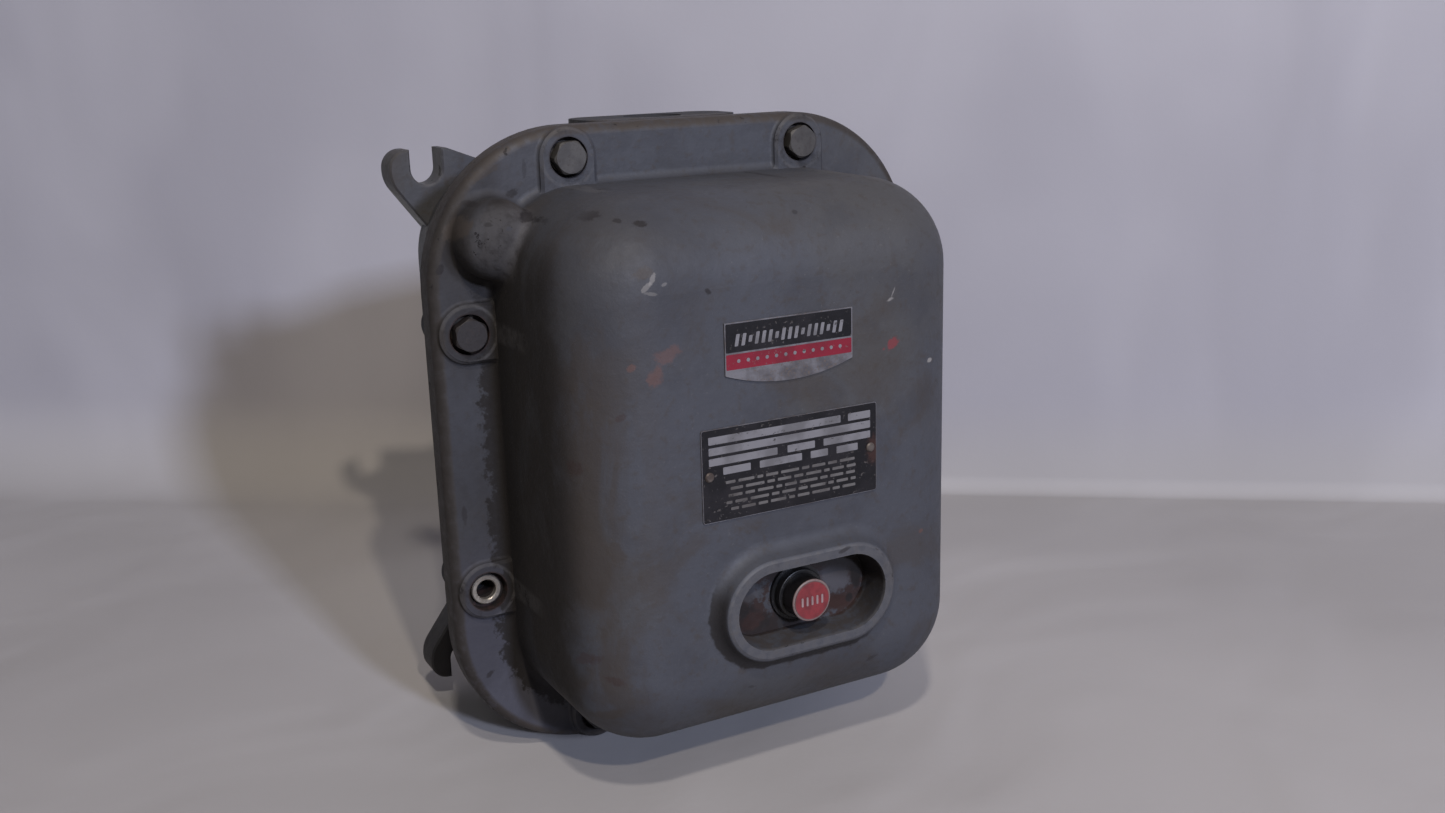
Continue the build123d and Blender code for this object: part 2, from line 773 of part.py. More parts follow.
def arc_cover():
    front = arc_front_y - arc_cover_t
    cover = block(0, contactor_z, contactor_w, 2 * (terminal_z - 8), arc_front_y, front, 3)
    way_w = 2 * (pole_pitch + bridge_w) + 2
    way_h = 2 * (tongue_half_z + 2 * crosshead_gap)
    return cover - block(0, contactor_z, way_w, way_h, arc_front_y + 1, front - 1)


def fixed_contact(x, side):
    """A terminal strip on the chamber floor with a tip under the bridge."""
    mid_z = contactor_z + side * (strip_inner_z + strip_outer_z) / 2
    length = strip_outer_z - strip_inner_z
    hole_z = contactor_z + side * terminal_z
    strip = block(x, mid_z, strip_w, length, chamber_floor_y, strip_front_y)
    hole = rod(x, hole_z, screw_r + hole_clearance, chamber_floor_y + 1, strip_front_y - 1)
    return strip - hole + rod(x, contactor_z + side * tip_z, tip_r, strip_front_y, fixed_tip_y)


def terminal_screw(x, side):
    """The two load screws over the heaters also clamp the load straps."""
    strapped = side < 0 and x != 0
    seat_y = strip_front_y - strap_t if strapped else strip_front_y
    return pan_screw(x, contactor_z + side * terminal_z, screw_l, seat_y)


def strap_leaf(x, z_top, z_low, y_back, y_front):
    return block(x, (z_top + z_low) / 2, strap_w, z_top - z_low, y_back, y_front)


def load_strap(side):
    """A bent strap from a load terminal down to the heater below it."""
    x = side * (pole_pitch + heater_x) / 2
    terminal_low_z = contactor_z - terminal_z
    step_y = relay_front_y - 1
    recess_top_z = relay_z + heater_h / 2 + 1
    foot_z = recess_top_z - 0.2
    upper_z = relay_z + heater_screw_z
    top = strap_leaf(x, terminal_low_z + 5, strap_drop_z, strip_front_y, strip_front_y - strap_t)
    back = strap_leaf(x, strap_drop_z + strap_t, strap_drop_z, step_y, strip_front_y)
    fall = strap_leaf(x, strap_drop_z + strap_t, foot_z - strap_t, step_y, step_y - strap_t)
    entry = strap_leaf(x, foot_z, foot_z - strap_t, heater_front_y, step_y)
    foot = strap_leaf(x, foot_z, upper_z - 5, heater_front_y, heater_front_y - strap_t)
    strap = union([top, back, fall, entry, foot])
    strap = strap - rod(side * pole_pitch, terminal_low_z, screw_r + hole_clearance, step_y, arc_front_y)
    return strap - rod(side * heater_x, upper_z, screw_r + hole_clearance, 0, step_y - 3)


def relay_block():
    """The moulded overload block: a heater recess each side of the trip channel."""
    moulded = block(0, relay_z, relay_w, relay_h, panel_front_y, relay_front_y, 3)
    channel_h = channel_high_z - channel_low_z
    channel_z = (channel_high_z + channel_low_z) / 2
    channel_w = 2 * channel_half_w
    over = relay_front_y - 1
    moulded = moulded - block(well_x, channel_z, channel_w, channel_h, channel_floor_y, over)
    for side in (-1, 1):
        x = side * heater_x
        floor = heater_front_y + heater_t
        moulded = moulded - block(x, relay_z, heater_w + 2, heater_h + 2, floor, over, 1)
        for end in (-1, 1):
            z = relay_z + end * heater_screw_z
            moulded = moulded - rod(x, z, screw_r + tap_fit, floor + screw_l, relay_front_y)
        foot = block(side * relay_foot_x, relay_z, foot_w, foot_h, panel_front_y, panel_front_y - ear_t, 3)
        hole = rod(side * relay_foot_x, relay_z, screw_r + hole_clearance, 0, relay_front_y)
        moulded = moulded + foot - hole
    pin_hole = Cylinder(pivot_pin_r + tap_fit, channel_w + 12, rotation=(0, 90, 0))
    moulded = moulded - Pos(well_x, lever_pivot_y, lever_pivot_z) * pin_hole
    post = block(well_x, lever_contact_z, 6, 6, channel_floor_y + 1, fixed_button_y)
    return moulded + post


def heater(side):
    """A heater strip with its winding pot, screwed down at both ends."""
    x = side * heater_x
    seat = heater_front_y + heater_t
    strip = block(x, relay_z, heater_w, heater_h, seat, heater_front_y, 1)
    for end in (-1, 1):
        z = relay_z + end * heater_screw_z
        strip = strip - rod(x, z, screw_r + hole_clearance, seat + 1, heater_front_y - 1)
    return strip + rod(x, relay_z, heater_pot_r, heater_front_y, heater_front_y - heater_pot_l)


def heater_screw(side, end):
    """The upper screws also clamp the load straps."""
    seat_y = heater_front_y - strap_t if end > 0 else heater_front_y
    return pan_screw(side * heater_x, relay_z + end * heater_screw_z, screw_l, seat_y)


def reset_rod():
    """The rod that carries the button's push to the trip lever."""
    shaft = rod(well_x, well_z, rod_r, rod_tail_y, stem_end_y + spring_gap)
    collar_back = bracket_front_y - rod_spring_l
    collar = rod(well_x, well_z, rod_collar_r, collar_back, collar_back - rod_collar_t)
    stop_back = bracket_front_y + bracket_t + spring_gap + rod_collar_t
    stop = rod(well_x, well_z, rod_collar_r - 1, stop_back, stop_back - rod_collar_t)
    return shaft + collar + stop


def rod_spring():
    coil_r = rod_r + wire_r + 0.7
    return spring(well_x, well_z, coil_r, bracket_front_y, bracket_front_y - rod_spring_l)


def rod_bracket():
    """A bent steel bridge over the trip channel that guides the rod."""
    back = bracket_front_y + bracket_t
    height = 2 * bracket_half_h
    bracket = block(well_x, well_z, 2 * bracket_half_w, height, back, bracket_front_y)
    for side in (-1, 1):
        leg_x = well_x + side * (bracket_half_w - bracket_t / 2)
        foot_x = well_x + side * (bracket_half_w - bracket_t)
        bracket = bracket + block(leg_x, well_z, bracket_t, height, relay_front_y, back)
        foot_back = relay_front_y - bracket_t
        bracket = bracket + block(foot_x, well_z, 2 * bracket_t, height, relay_front_y, foot_back)
    return bracket - rod(well_x, well_z, rod_r + fit_gap, back + 1, bracket_front_y - 1)


def trip_lever():
    """A bell crank: the rod pushes the upper arm, the lower arm carries the control contact."""
    top_z = well_z + 4
    low_z = lever_contact_z - 3
    arm = Pos(0, 0, (top_z + low_z) / 2 - lever_pivot_z) * Box(lever_w, lever_t, top_z - low_z)
    hub = Cylinder(lever_hub_r, lever_w, rotation=(0, 90, 0))
    bore = Cylinder(pivot_pin_r + fit_gap, lever_w + 2, rotation=(0, 90, 0))
    return Pos(well_x, lever_pivot_y, lever_pivot_z) * (hub + arm - bore)


def lever_pin():
    pin = Cylinder(pivot_pin_r, 2 * channel_half_w + 10, rotation=(0, 90, 0))
    return Pos(well_x, lever_pivot_y, lever_pivot_z) * pin


def overload_contacts():
    """The fixed control contact on its post, and the moving one on the lever."""
    moving_y = lever_pivot_y + lever_t / 2
    moving = rod(well_x, lever_contact_z, 2.2, moving_y + 1, moving_y)
    fixed = rod(well_x, lever_contact_z, 2.6, fixed_button_y, fixed_button_y - 2)
    return fixed, moving



def write(name, shapes):
    shapes = shapes if isinstance(shapes, list) else [shapes]
    solids = [solid for shape in shapes for solid in shape.solids()]
    whole = solids[0] if len(solids) == 1 else Compound(children=solids)
    export_step(whole, f"parts/{name}.step")
    print(name, len(solids), all(solid.is_valid for solid in solids))


os.makedirs("parts", exist_ok=True)
write("cover_casting", cover_casting())
write("base_casting", base_casting())
missing = (-bolt_side_x, -bolt_side_z)
screws = zip(top_bolts() + side_bolts(), bolt_turns)
write("cover_bolts", [hex_bolt(*at, turn) for at, turn in screws if at != missing])
write("bolt_collars", [bolt_collar(x, z) for x, z in top_bolts() + side_bolts()])
write("data_plate", data_plate())
write("badge_plate", badge_plate())
write("plate_pins", [plate_pin(-1), plate_pin(1)])
write("reset_button", reset_button())
write("reset_disc", reset_disc())
write("reset_guide", reset_guide())
write("reset_nut", reset_nut())
write("reset_clip", reset_clip())
write("reset_spring", reset_spring())
write("mounting_panel", mounting_panel())
write("panel_screws", [pan_screw(x, z, screw_l, panel_front_y) for x, z in panel_points()])
write("contactor_tray", contactor_tray())
write("contactor_screws", [foot_screw(x, z) for x, z in ear_points()])
write("magnet_core", magnet_core())
write("coil_bobbin", coil_bobbin())
write("coil_winding", coil_winding())
write("armature", armature())
write("contact_carrier", contact_carrier())
write("contact_bridges", [contact_bridge(x) for x in poles])
write("contact_springs", [contact_spring(x) for x in poles])
write("kickout_springs", [kickout_spring(side) for side in (-1, 1)])
write("arc_housing", arc_housing())
write("arc_cover", arc_cover())
write("fixed_contacts", [fixed_contact(x, side) for x in poles for side in (-1, 1)])
write("terminal_screws", [terminal_screw(x, side) for x in poles for side in (-1, 1)])
write("relay_block", relay_block())
write("relay_screws", [foot_screw(x, z) for x, z in relay_points()])
write("heaters", [heater(side) for side in (-1, 1)])
write("heater_screws", [heater_screw(side, end) for side in (-1, 1) for end in (-1, 1)])
write("load_straps", [load_strap(side) for side in (-1, 1)])
write("reset_rod", reset_rod())
write("rod_spring", rod_spring())
write("rod_bracket", rod_bracket())
write("trip_lever", trip_lever())
write("lever_pin", lever_pin())
fixed, moving = overload_contacts()
write("control_contact_fixed", fixed)
write("control_contact_moving", moving)
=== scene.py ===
import json
import math

import bmesh
import bpy
from mathutils import Euler, Matrix, Vector


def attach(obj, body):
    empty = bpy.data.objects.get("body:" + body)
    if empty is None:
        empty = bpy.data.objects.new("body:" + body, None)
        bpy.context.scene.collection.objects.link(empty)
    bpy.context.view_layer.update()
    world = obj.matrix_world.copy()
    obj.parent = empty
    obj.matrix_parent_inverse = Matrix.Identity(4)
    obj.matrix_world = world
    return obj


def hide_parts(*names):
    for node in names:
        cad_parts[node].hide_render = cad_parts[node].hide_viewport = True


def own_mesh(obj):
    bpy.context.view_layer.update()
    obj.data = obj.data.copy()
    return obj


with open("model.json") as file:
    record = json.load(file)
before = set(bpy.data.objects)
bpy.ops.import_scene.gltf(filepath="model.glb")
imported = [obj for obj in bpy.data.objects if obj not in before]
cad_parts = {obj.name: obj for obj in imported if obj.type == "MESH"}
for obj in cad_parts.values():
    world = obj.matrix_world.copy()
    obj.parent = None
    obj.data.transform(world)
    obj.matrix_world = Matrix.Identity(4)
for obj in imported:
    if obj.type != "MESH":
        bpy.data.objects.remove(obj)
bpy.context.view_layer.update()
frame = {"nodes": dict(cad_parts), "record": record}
nodes = frame["nodes"]
scene = bpy.context.scene
mm = 0.001
print("frame loaded,", len(nodes), "parts")

# where the camera stands, its turn in degrees, its lens and sensor in millimetres
camera = {"at": (-0.27625, -0.62113, 0.16542), "turn": (75.485, 1.610, -28.773), "lens": 35.59,
          "sensor": 36.0, "nearest": 0.01}


def makeCamera():
    data = bpy.data.cameras.new("mainCamera")
    data.lens = camera["lens"]
    data.sensor_fit = "HORIZONTAL"
    data.sensor_width = camera["sensor"]
    data.clip_start = camera["nearest"]
    eye = bpy.data.objects.new("mainCamera", data)
    eye.location = camera["at"]
    eye.rotation_euler = [math.radians(angle) for angle in camera["turn"]]
    scene.collection.objects.link(eye)
    scene.camera = eye


makeCamera()
scene.view_settings.view_transform = "Standard"
print("camera set")


def tint(red, green, blue):
    # screen values 0 to 255 to linear light
    def linear(value):
        value /= 255
        return value / 12.92 if value <= 0.04045 else ((value + 0.055) / 1.055) ** 2.4

    return (linear(red), linear(green), linear(blue), 1.0)


class Wire:
    # one node output that can be used in sums
    def __init__(self, shop, socket):
        self.shop = shop
        self.socket = socket

    def maths(self, operation, *others):
        values = dict(enumerate((self,) + others))
        return self.shop.node("ShaderNodeMath", {"operation": operation}, values)

    def flipped(self, operation, other):
        return self.shop.node("ShaderNodeMath", {"operation": operation}, {0: other, 1: self})

    def __add__(self, other):
        return self.maths("ADD", other)

    __radd__ = __add__

    def __sub__(self, other):
        return self.maths("SUBTRACT", other)

    def __rsub__(self, other):
        return self.flipped("SUBTRACT", other)

    def __mul__(self, other):
        return self.maths("MULTIPLY", other)

    __rmul__ = __mul__

    def __truediv__(self, other):
        return self.maths("DIVIDE", other)

    def __abs__(self):
        return self.maths("ABSOLUTE")

    def most(self, other):
        return self.maths("MAXIMUM", other)

    def least(self, other):
        return self.maths("MINIMUM", other)

    def rise(self, low, high):
        # 0 below low, 1 above high
        values = {"Value": self, "From Min": low, "From Max": high}
        return self.shop.node("ShaderNodeMapRange", {"interpolation_type": "SMOOTHSTEP"}, values)

    def fall(self, low, high):
        return 1 - self.rise(low, high)

    def band(self, low, high, soft):
        return self.rise(low - soft, low + soft) * self.fall(high - soft, high + soft)


def far(a, b):
    return (a * a + b * b).maths("SQRT")


def roundBox(x, z, width, height, radius):
    # distance to a rounded rectangle's outline, negative inside
    across = abs(x) - (width / 2 - radius)
    up = abs(z) - (height / 2 - radius)
    outside = far(across.most(0), up.most(0))
    return outside + across.most(up).least(0) - radius


class Shop:
    # a material and the ways to add nodes to it
    def __init__(self, name):
        self.material = bpy.data.materials.new(name)
        self.material.use_nodes = True
        self.tree = self.material.node_tree
        self.shader = self.tree.nodes["Principled BSDF"]
        self.place = self.node("ShaderNodeTexCoord", output=3)

    def node(self, kind, settings=None, inputs=None, output=0):
        made = self.tree.nodes.new(kind)
        for name, value in (settings or {}).items():
            setattr(made, name, value)
        for name, value in (inputs or {}).items():
            self.feed(made.inputs[name], value)
        return Wire(self, made.outputs[output])

    def feed(self, socket, value):
        if isinstance(value, Wire):
            self.tree.links.new(value.socket, socket)
        else:
            socket.default_value = value

    def axes(self):
        # x, y and z in millimetres
        split = self.tree.nodes.new("ShaderNodeSeparateXYZ")
        self.feed(split.inputs[0], self.place)
        return [Wire(self, socket) * 1000 for socket in split.outputs]

    def noise(self, size, detail=4, rough=0.55, twist=0.0, at=None):
        # size of the largest features in millimetres
        inputs = {"Vector": at or self.place, "Scale": 1000 / size, "Detail": detail,
                  "Roughness": rough, "Distortion": twist}
        return self.node("ShaderNodeTexNoise", None, inputs)

    def stretched(self, x, y, z, turn=(0, 0, 0)):
        # object coordinates scaled along each axis
        angles = [math.radians(angle) for angle in turn]
        values = {"Vector": self.place, "Scale": (x, y, z), "Rotation": angles}
        return self.node("ShaderNodeMapping", None, values)

    def mix(self, first, second, amount, blend="MIX"):
        values = {0: amount, 6: first, 7: second}
        settings = {"data_type": "RGBA", "blend_type": blend}
        return self.node("ShaderNodeMix", settings, values, 2)

    def bump(self, height, depth, under=None):
        # depth of the relief in millimetres
        values = {"Height": height, "Distance": depth * mm, "Strength": 1.0}
        if under:
            values["Normal"] = under
        return self.node("ShaderNodeBump", None, values)

    def finish(self, colour, roughness, metallic=0.0, normal=None, **constants):
        self.feed(self.shader.inputs["Base Color"], colour)
        self.feed(self.shader.inputs["Roughness"], roughness)
        self.feed(self.shader.inputs["Metallic"], metallic)
        if normal:
            self.feed(self.shader.inputs["Normal"], normal)
        for name, value in constants.items():
            self.shader.inputs[name.replace("_", " ")].default_value = value
        return self.material


# the cover casting in millimetres, for the places of its wear, dirt and painted shade
casting = {"flange": (228, 266, 62), "body": (178, 219, 36.5), "wellX": 5.0, "wellZ": -52.5,
           "wellHalfL": 38.6, "wellHalfH": 20.5, "wellRim": 4.3, "lobe": (-88.5, 91.5, 16.0),
           "topBolt": (54.0, 120.6), "sideBolt": (100.2, 54.2), "padR": 11.4, "seatR": (8.3, 8.9),
           "joint": 71.5}

# stretches of Y in which a zone of the cover begins, ends or lies
depths = {"front": (-150, -128), "bodyFoot": (-110, -90), "low": (-124, -108),
          "flangeFace": (-92, -86), "valley": (-112, -92), "sideWall": (-150, -84),
          "flangeRim": (-100, -84), "pad": (-84.5, -84), "lobeFoot": (-104, -92),
          "lobeBack": (-99, -96), "lobeFront": (-112, -107), "wellLip": (-171.2, -169.6),
          "wellFace": (-171.6, -171.2), "wellFlank": (-165, -150), "wellMouth": (-171.4, -170.2),
          "wellFloor": (-159.5, -158), "wellWall": (-160.5, -159), "seat": (-86.9, -86.3)}

# the darkest tone serves for dirt and dark joints and also for painted shade
enamel = {"blue": tint(62, 63, 68), "warm": tint(65, 63, 61), "deep": tint(51, 51, 55),
          "brown": tint(56, 49, 43), "rust": tint(46, 29, 25), "bare": tint(26, 22, 22),
          "dirtAndShade": tint(24, 20, 18), "pale": tint(128, 124, 120), "polish": tint(88, 86, 86),
          "orange": tint(104, 68, 56), "red": tint(112, 44, 48), "patch": tint(74, 72, 75),
          "clean": tint(72, 72, 82), "edge": tint(38, 34, 31), "rough": 0.6}

# x, z, half length, half width, turn in degrees, colour, strength
frontMarks = [
    (-57.5, 47.0, 5.0, 3.4, 60, "orange", 0.36), (-52.5, 54.0, 6.0, 3.2, 15, "orange", 0.32),
    (-66.5, 50.5, 2.0, 1.4, 40, "orange", 0.35), (-59.5, 84.5, 5.0, 2.6, 10, "brown", 0.7),
    (-56.8, 82.5, 2.8, 1.1, 60, "pale", 0.5), (-59.5, 79.6, 2.6, 0.9, 40, "pale", 0.45),
    (-58.0, 77.0, 2.4, 0.6, -10, "pale", 0.3), (-52.5, 80.0, 1.2, 0.6, 20, "pale", 0.35),
    (45.6, 63.4, 2.4, 1.0, 20, "pale", 0.7),
    (47.2, 66.0, 2.6, 0.5, 65, "pale", 0.6), (66.6, 36.0, 1.6, 0.9, 0, "pale", 0.9),
    (47.3, 46.0, 3.6, 2.2, 30, "red", 0.75), (43.0, 44.0, 1.2, 0.8, 30, "red", 0.45),
    (-70.0, 103.6, 4.2, 1.7, 12, "bare", 0.9), (-63.0, 102.2, 1.9, 1.0, 0, "bare", 0.7),
    (-55.5, 101.0, 3.8, 1.3, -6, "bare", 0.85), (-35.0, 75.4, 1.9, 1.2, -35, "bare", 0.75),
    (-83.0, -64.0, 5.0, 2.6, 35, "rust", 0.45), (-76.0, -72.0, 4.0, 2.0, -20, "rust", 0.45),
    (-74.0, -20.0, 3.0, 5.0, 10, "brown", 0.6), (-78.0, -88.0, 6.0, 3.0, 30, "brown", 0.6),
    (-70.5, 32.4, 2.4, 1.4, 30, "rust", 0.4), (-84.0, 12.0, 2.0, 3.5, 0, "rust", 0.4),
    (9.0, 100.0, 1.6, 1.2, 0, "bare", 0.5), (62.0, -36.0, 1.4, 0.8, 20, "orange", 0.4),
    (-20.0, -86.0, 3.0, 0.8, -12, "bare", 0.4), (38.0, -88.0, 3.5, 1.0, 20, "bare", 0.45),
    (20.0, -33.5, 3.0, 0.8, 15, "bare", 0.6), (56.0, 72.0, 3.5, 0.5, 20, "deep", 0.5),
]
flangeMarks = [
    (-97.8, 60.3, 1.3, 0.8, 0, "pale", 0.9), (-98.0, 62.0, 4.5, 1.6, 0, "bare", 0.7),
    (-109.2, 80.6, 2.4, 1.4, 60, "bare", 0.8), (-78.4, 108.0, 3.8, 2.2, 20, "bare", 0.8),
    (-97.1, 105.9, 2.6, 1.2, 10, "bare", 0.75), (-76.4, 96.0, 2.6, 1.6, 40, "bare", 0.75),
    (-87.5, 97.0, 1.8, 1.0, 10, "deep", 0.7), (35.6, 108.1, 3.0, 0.9, 5, "bare", 0.6),
    (26.7, 109.1, 2.0, 0.7, -10, "bare", 0.6), (-72.0, 117.5, 1.0, 5.0, 0, "bare", 0.4),
    (-104.0, 96.0, 7, 2.5, 55, "brown", 0.7), (-88.0, 117.0, 8, 2.0, 25, "brown", 0.6),
    (-107.0, -20.0, 1.2, 4.0, 0, "bare", 0.5), (-101.0, -92.0, 2.2, 1.4, 40, "bare", 0.7),
    (88.0, 100.0, 4, 1.2, -40, "bare", 0.4), (-79.0, 100.5, 3.4, 2.0, 10, "bare", 0.85),
    (-80.5, 89.0, 2.6, 1.3, 25, "bare", 0.8), (-95.0, 99.0, 1.6, 1.0, 0, "bare", 0.6),
]
# patches left on the well floor, in the same terms; the dark marks at x 34.5 and 31.5 are painted shadow
# beside the well's right wall
wellMarks = [
    (24.5, -50.5, 9.0, 7.5, -15, "patch", 1.0), (-16.5, -50.0, 4.5, 4.5, 0, "patch", 0.45),
    (12.0, -65.0, 5.0, 3.0, 10, "patch", 0.6), (25.5, -62.0, 8.5, 3.6, -12, "rust", 1.0),
    (-15.0, -61.5, 7.0, 4.6, 10, "rust", 0.8), (34.5, -52.0, 2.8, 7.5, 8, "bare", 0.95),
    (-24.0, -54.0, 2.6, 6.0, -8, "bare", 0.8), (-9.0, -64.0, 3.4, 2.2, 0, "bare", 0.7),
    (-19.0, -56.0, 3.0, 4.5, 0, "bare", 0.8), (31.5, -61.5, 2.4, 2.6, 0, "bare", 0.9),
]


def markMask(x, z, mark, warp):
    # a worn patch with ragged edges
    midX, midZ, halfL, halfW, turn = mark
    cosine = math.cos(math.radians(turn))
    sine = math.sin(math.radians(turn))
    along = (x * cosine + z * sine - (midX * cosine + midZ * sine)) / halfL
    across = (z * cosine - x * sine - (midZ * cosine - midX * sine)) / halfW
    return (far(along, across) + warp).fall(0.6, 1.05)


def putMarks(shop, colour, x, z, marks, warp, where):
    for *mark, paint, strength in marks:
        mask = markMask(x, z, mark, warp) * strength * where
        colour = shop.mix(colour, enamel[paint], mask)
    return colour


def enamelBase(shop):
    # worn enamel before the casting's own marks: colour and the noises used again
    cloud = shop.noise(110, 3)
    patch = shop.noise(34, 5, 0.6)
    fine = shop.noise(4.0, 5, 0.65)
    speck = shop.noise(1.1, 3, 0.6)
    colour = shop.mix(enamel["blue"], enamel["warm"], cloud.rise(0.42, 0.62) * 0.7)
    colour = shop.mix(colour, enamel["deep"], patch.rise(0.48, 0.64) * 0.5)
    colour = shop.mix(colour, enamel["brown"], fine.rise(0.52, 0.70) * 0.42)
    colour = shop.mix(colour, enamel["pale"], speck.rise(0.62, 0.8) * 0.16)
    colour = shop.mix(colour, enamel["bare"], speck.fall(0.22, 0.36) * 0.35)
    return colour, patch, fine


def coverEnamel():
    shop = Shop("coverEnamel")
    x, y, z = shop.axes()
    colour, patch, fine = enamelBase(shop)
    ragged = shop.noise(7, 6, 0.75)
    warp = (ragged - 0.5) * 2.6

    front = y.fall(*depths["front"])
    low = y.rise(*depths["low"])
    face = y.rise(*depths["flangeFace"])
    flangeEdge = roundBox(x, z, *casting["flange"])
    bodyEdge = roundBox(x, z, *casting["body"])
    straight = (abs(x - casting["wellX"]) - (casting["wellHalfL"] - casting["wellHalfH"])).most(0)
    wellEdge = far(straight, z - casting["wellZ"]) - casting["wellHalfH"]
    topBolt = far(abs(x) - casting["topBolt"][0], abs(z) - casting["topBolt"][1])
    sideBolt = far(abs(x) - casting["sideBolt"][0], abs(z) - casting["sideBolt"][1])
    bolt = topBolt.least(sideBolt)
    lobeX, lobeZ, lobeR = casting["lobe"]
    lobe = far(x - lobeX, z - lobeZ)

    # brown rubbed into the left side and the left of the face
    left = (0 - x).rise(44, 92)
    smear = shop.noise(26, 6, 0.65, 0.4, shop.stretched(1, 1, 0.45))
    colour = shop.mix(colour, enamel["brown"], smear.rise(0.40, 0.58) * left * (0.85 - face * 0.65))
    faceSmear = shop.noise(46, 6, 0.65, 0.8)
    colour = shop.mix(colour, enamel["brown"], faceSmear.rise(0.50, 0.66) * front * 0.45)
    # the upper left is a shade deeper, the flange's lower left cleaner and paler
    upperLeft = (0 - x).rise(10, 60) * z.rise(30, 80) * y.fall(*depths["bodyFoot"])
    colour = shop.mix(colour, enamel["deep"], upperLeft * 0.5)
    colour = shop.mix(colour, enamel["deep"], face * left * z.rise(-50, 0) * 0.5)
    colour = shop.mix(colour, enamel["clean"], face * left * z.fall(-70, -20) * 0.75)

    # dirt and painted shade in the valley round the body, on its left wall, under it and round the lobe's
    # foot
    reach = abs(bodyEdge) - (ragged - 0.45) * 24
    valley = reach.fall(4.5, 7.5) * y.rise(*depths["valley"])
    lowerLeft = (left * (0 - z).rise(-110, -30)).most((0 - z).rise(70, 100) * 0.8)
    colour = shop.mix(colour, enamel["dirtAndShade"], valley * (lowerLeft * 0.8 + 0.12))
    # painted shade and dirt on the body's left wall, the side turned from the lamps
    wall = (0 - x).rise(80, 88.5) * y.band(*depths["sideWall"], 10)
    colour = shop.mix(colour, enamel["dirtAndShade"], wall * (smear.rise(0.30, 0.56) * 0.5 + 0.35))
    # painted shade on the body's underside, patchy
    base = (0 - z).rise(96, 108) * (0 - y).rise(84, 88)
    colour = shop.mix(colour, enamel["dirtAndShade"], base * (smear * 0.5 + 0.15))
    # painted shadow and dirt round the lobe's foot, below and to the left of it
    lobeShadowAndDirt = lobe.band(lobeR - 1, lobeR + 5, 1.5) * ((0 - z) - x).rise(-20, 6)
    lobeShadowAndDirt = lobeShadowAndDirt * y.rise(*depths["lobeFoot"])
    colour = shop.mix(colour, enamel["dirtAndShade"], lobeShadowAndDirt * 0.75)

    # rubbed flange rim
    rim = flangeEdge.rise(-4.6, -2.4) * y.rise(*depths["flangeRim"])
    rubbed = fine.rise(0.32, 0.55) * 0.45 + 0.45
    colour = shop.mix(colour, enamel["brown"], rim * rubbed)
    # painted shade on the rubbed rim at the left and upper right
    rimShade = (0 - x).rise(80, 108).most(x.rise(40, 80) * z.rise(40, 90) * 0.7)
    colour = shop.mix(colour, enamel["edge"], rim * rimShade * rubbed)
    joint = abs(y + casting["joint"]).fall(0.15, 0.7)
    colour = shop.mix(colour, enamel["dirtAndShade"], joint)

    # rubbed edges of the pads, lobe and well
    padEdge = abs(bolt - casting["padR"]).fall(0.2, 1.0) * low * y.fall(*depths["pad"])
    nose = lobe.fall(lobeR - 5, lobeR + 1) * y.fall(*depths["lobeBack"]) * y.rise(*depths["lobeFront"])
    innerLip = abs(wellEdge + casting["wellRim"]).fall(0.1, 0.7)
    outerLip = abs(wellEdge + 0.6).fall(0.1, 0.7)
    wellLip = innerLip.most(outerLip) * y.fall(*depths["wellLip"])
    rimFace = wellEdge.band(-4.6, 0.2, 0.3) * y.fall(*depths["wellFace"])

    # dirt and painted shade on the lower left flank of the well's rim, which faces away from the lamps
    lean = (0 - (x - casting["wellX"])) * 0.5 - (z - casting["wellZ"])
    flank = wellEdge.band(0.5, 5.6 + (fine - 0.5) * 3, 0.5) * lean.rise(0, 15)
    flank = flank * y.fall(*depths["wellFlank"])
    colour = shop.mix(colour, enamel["dirtAndShade"], flank * 0.85)
    rub = padEdge * 0.35
    rub = rub.most(nose * 0.3).most(wellLip * 0.6).most(rimFace * 0.45)
    colour = shop.mix(colour, enamel["polish"], rub * (fine.rise(0.3, 0.6) * 0.8 + 0.2))
    chipNear = padEdge.most(nose).most(wellLip).most(rim * 0.8)
    chip = (ragged + chipNear * 0.08).rise(0.69, 0.70) * chipNear.rise(0.1, 0.4)
    colour = shop.mix(colour, enamel["bare"], chip * 0.85)

    # dark rusty seats round the bolts
    seat = bolt.fall(*casting["seatR"]) * y.rise(*depths["seat"])
    bared = (0 - x).rise(66, 84) * 0.6 + 0.3
    colour = shop.mix(colour, enamel["rust"], seat * bared)
    colour = shop.mix(colour, enamel["dirtAndShade"], seat * fine.rise(0.42, 0.55) * bared)
    drip = bolt.fall(10, 16) * low * ragged.rise(0.5, 0.62)
    colour = shop.mix(colour, enamel["dirtAndShade"], drip * 0.5)

    # flaked paint inside the well
    inWell = wellEdge.fall(-4.6, -3.8) * y.rise(*depths["wellMouth"])
    onFloor = inWell * y.rise(*depths["wellFloor"])
    dusty = ragged.rise(0.40, 0.56)
    colour = shop.mix(colour, enamel["brown"], inWell * dusty * 0.6)
    colour = shop.mix(colour, enamel["rust"], onFloor * (ragged.rise(0.44, 0.5) * 0.8))
    colour = shop.mix(colour, enamel["bare"], onFloor * patch.rise(0.42, 0.50) * 0.8)
    colour = putMarks(shop, colour, x, z, wellMarks, warp * 0.6, onFloor)
    # painted shadow under the rim on the upper and right inner walls of the well
    above = inWell * ((z - casting["wellZ"]) + (x - casting["wellX"]) * 0.35).rise(6, 15)
    rightWallShadow = inWell * (x - casting["wellX"]).rise(20, 33) * y.fall(*depths["wellWall"]) * 0.7
    colour = shop.mix(colour, enamel["dirtAndShade"], above.most(rightWallShadow) * 0.95)

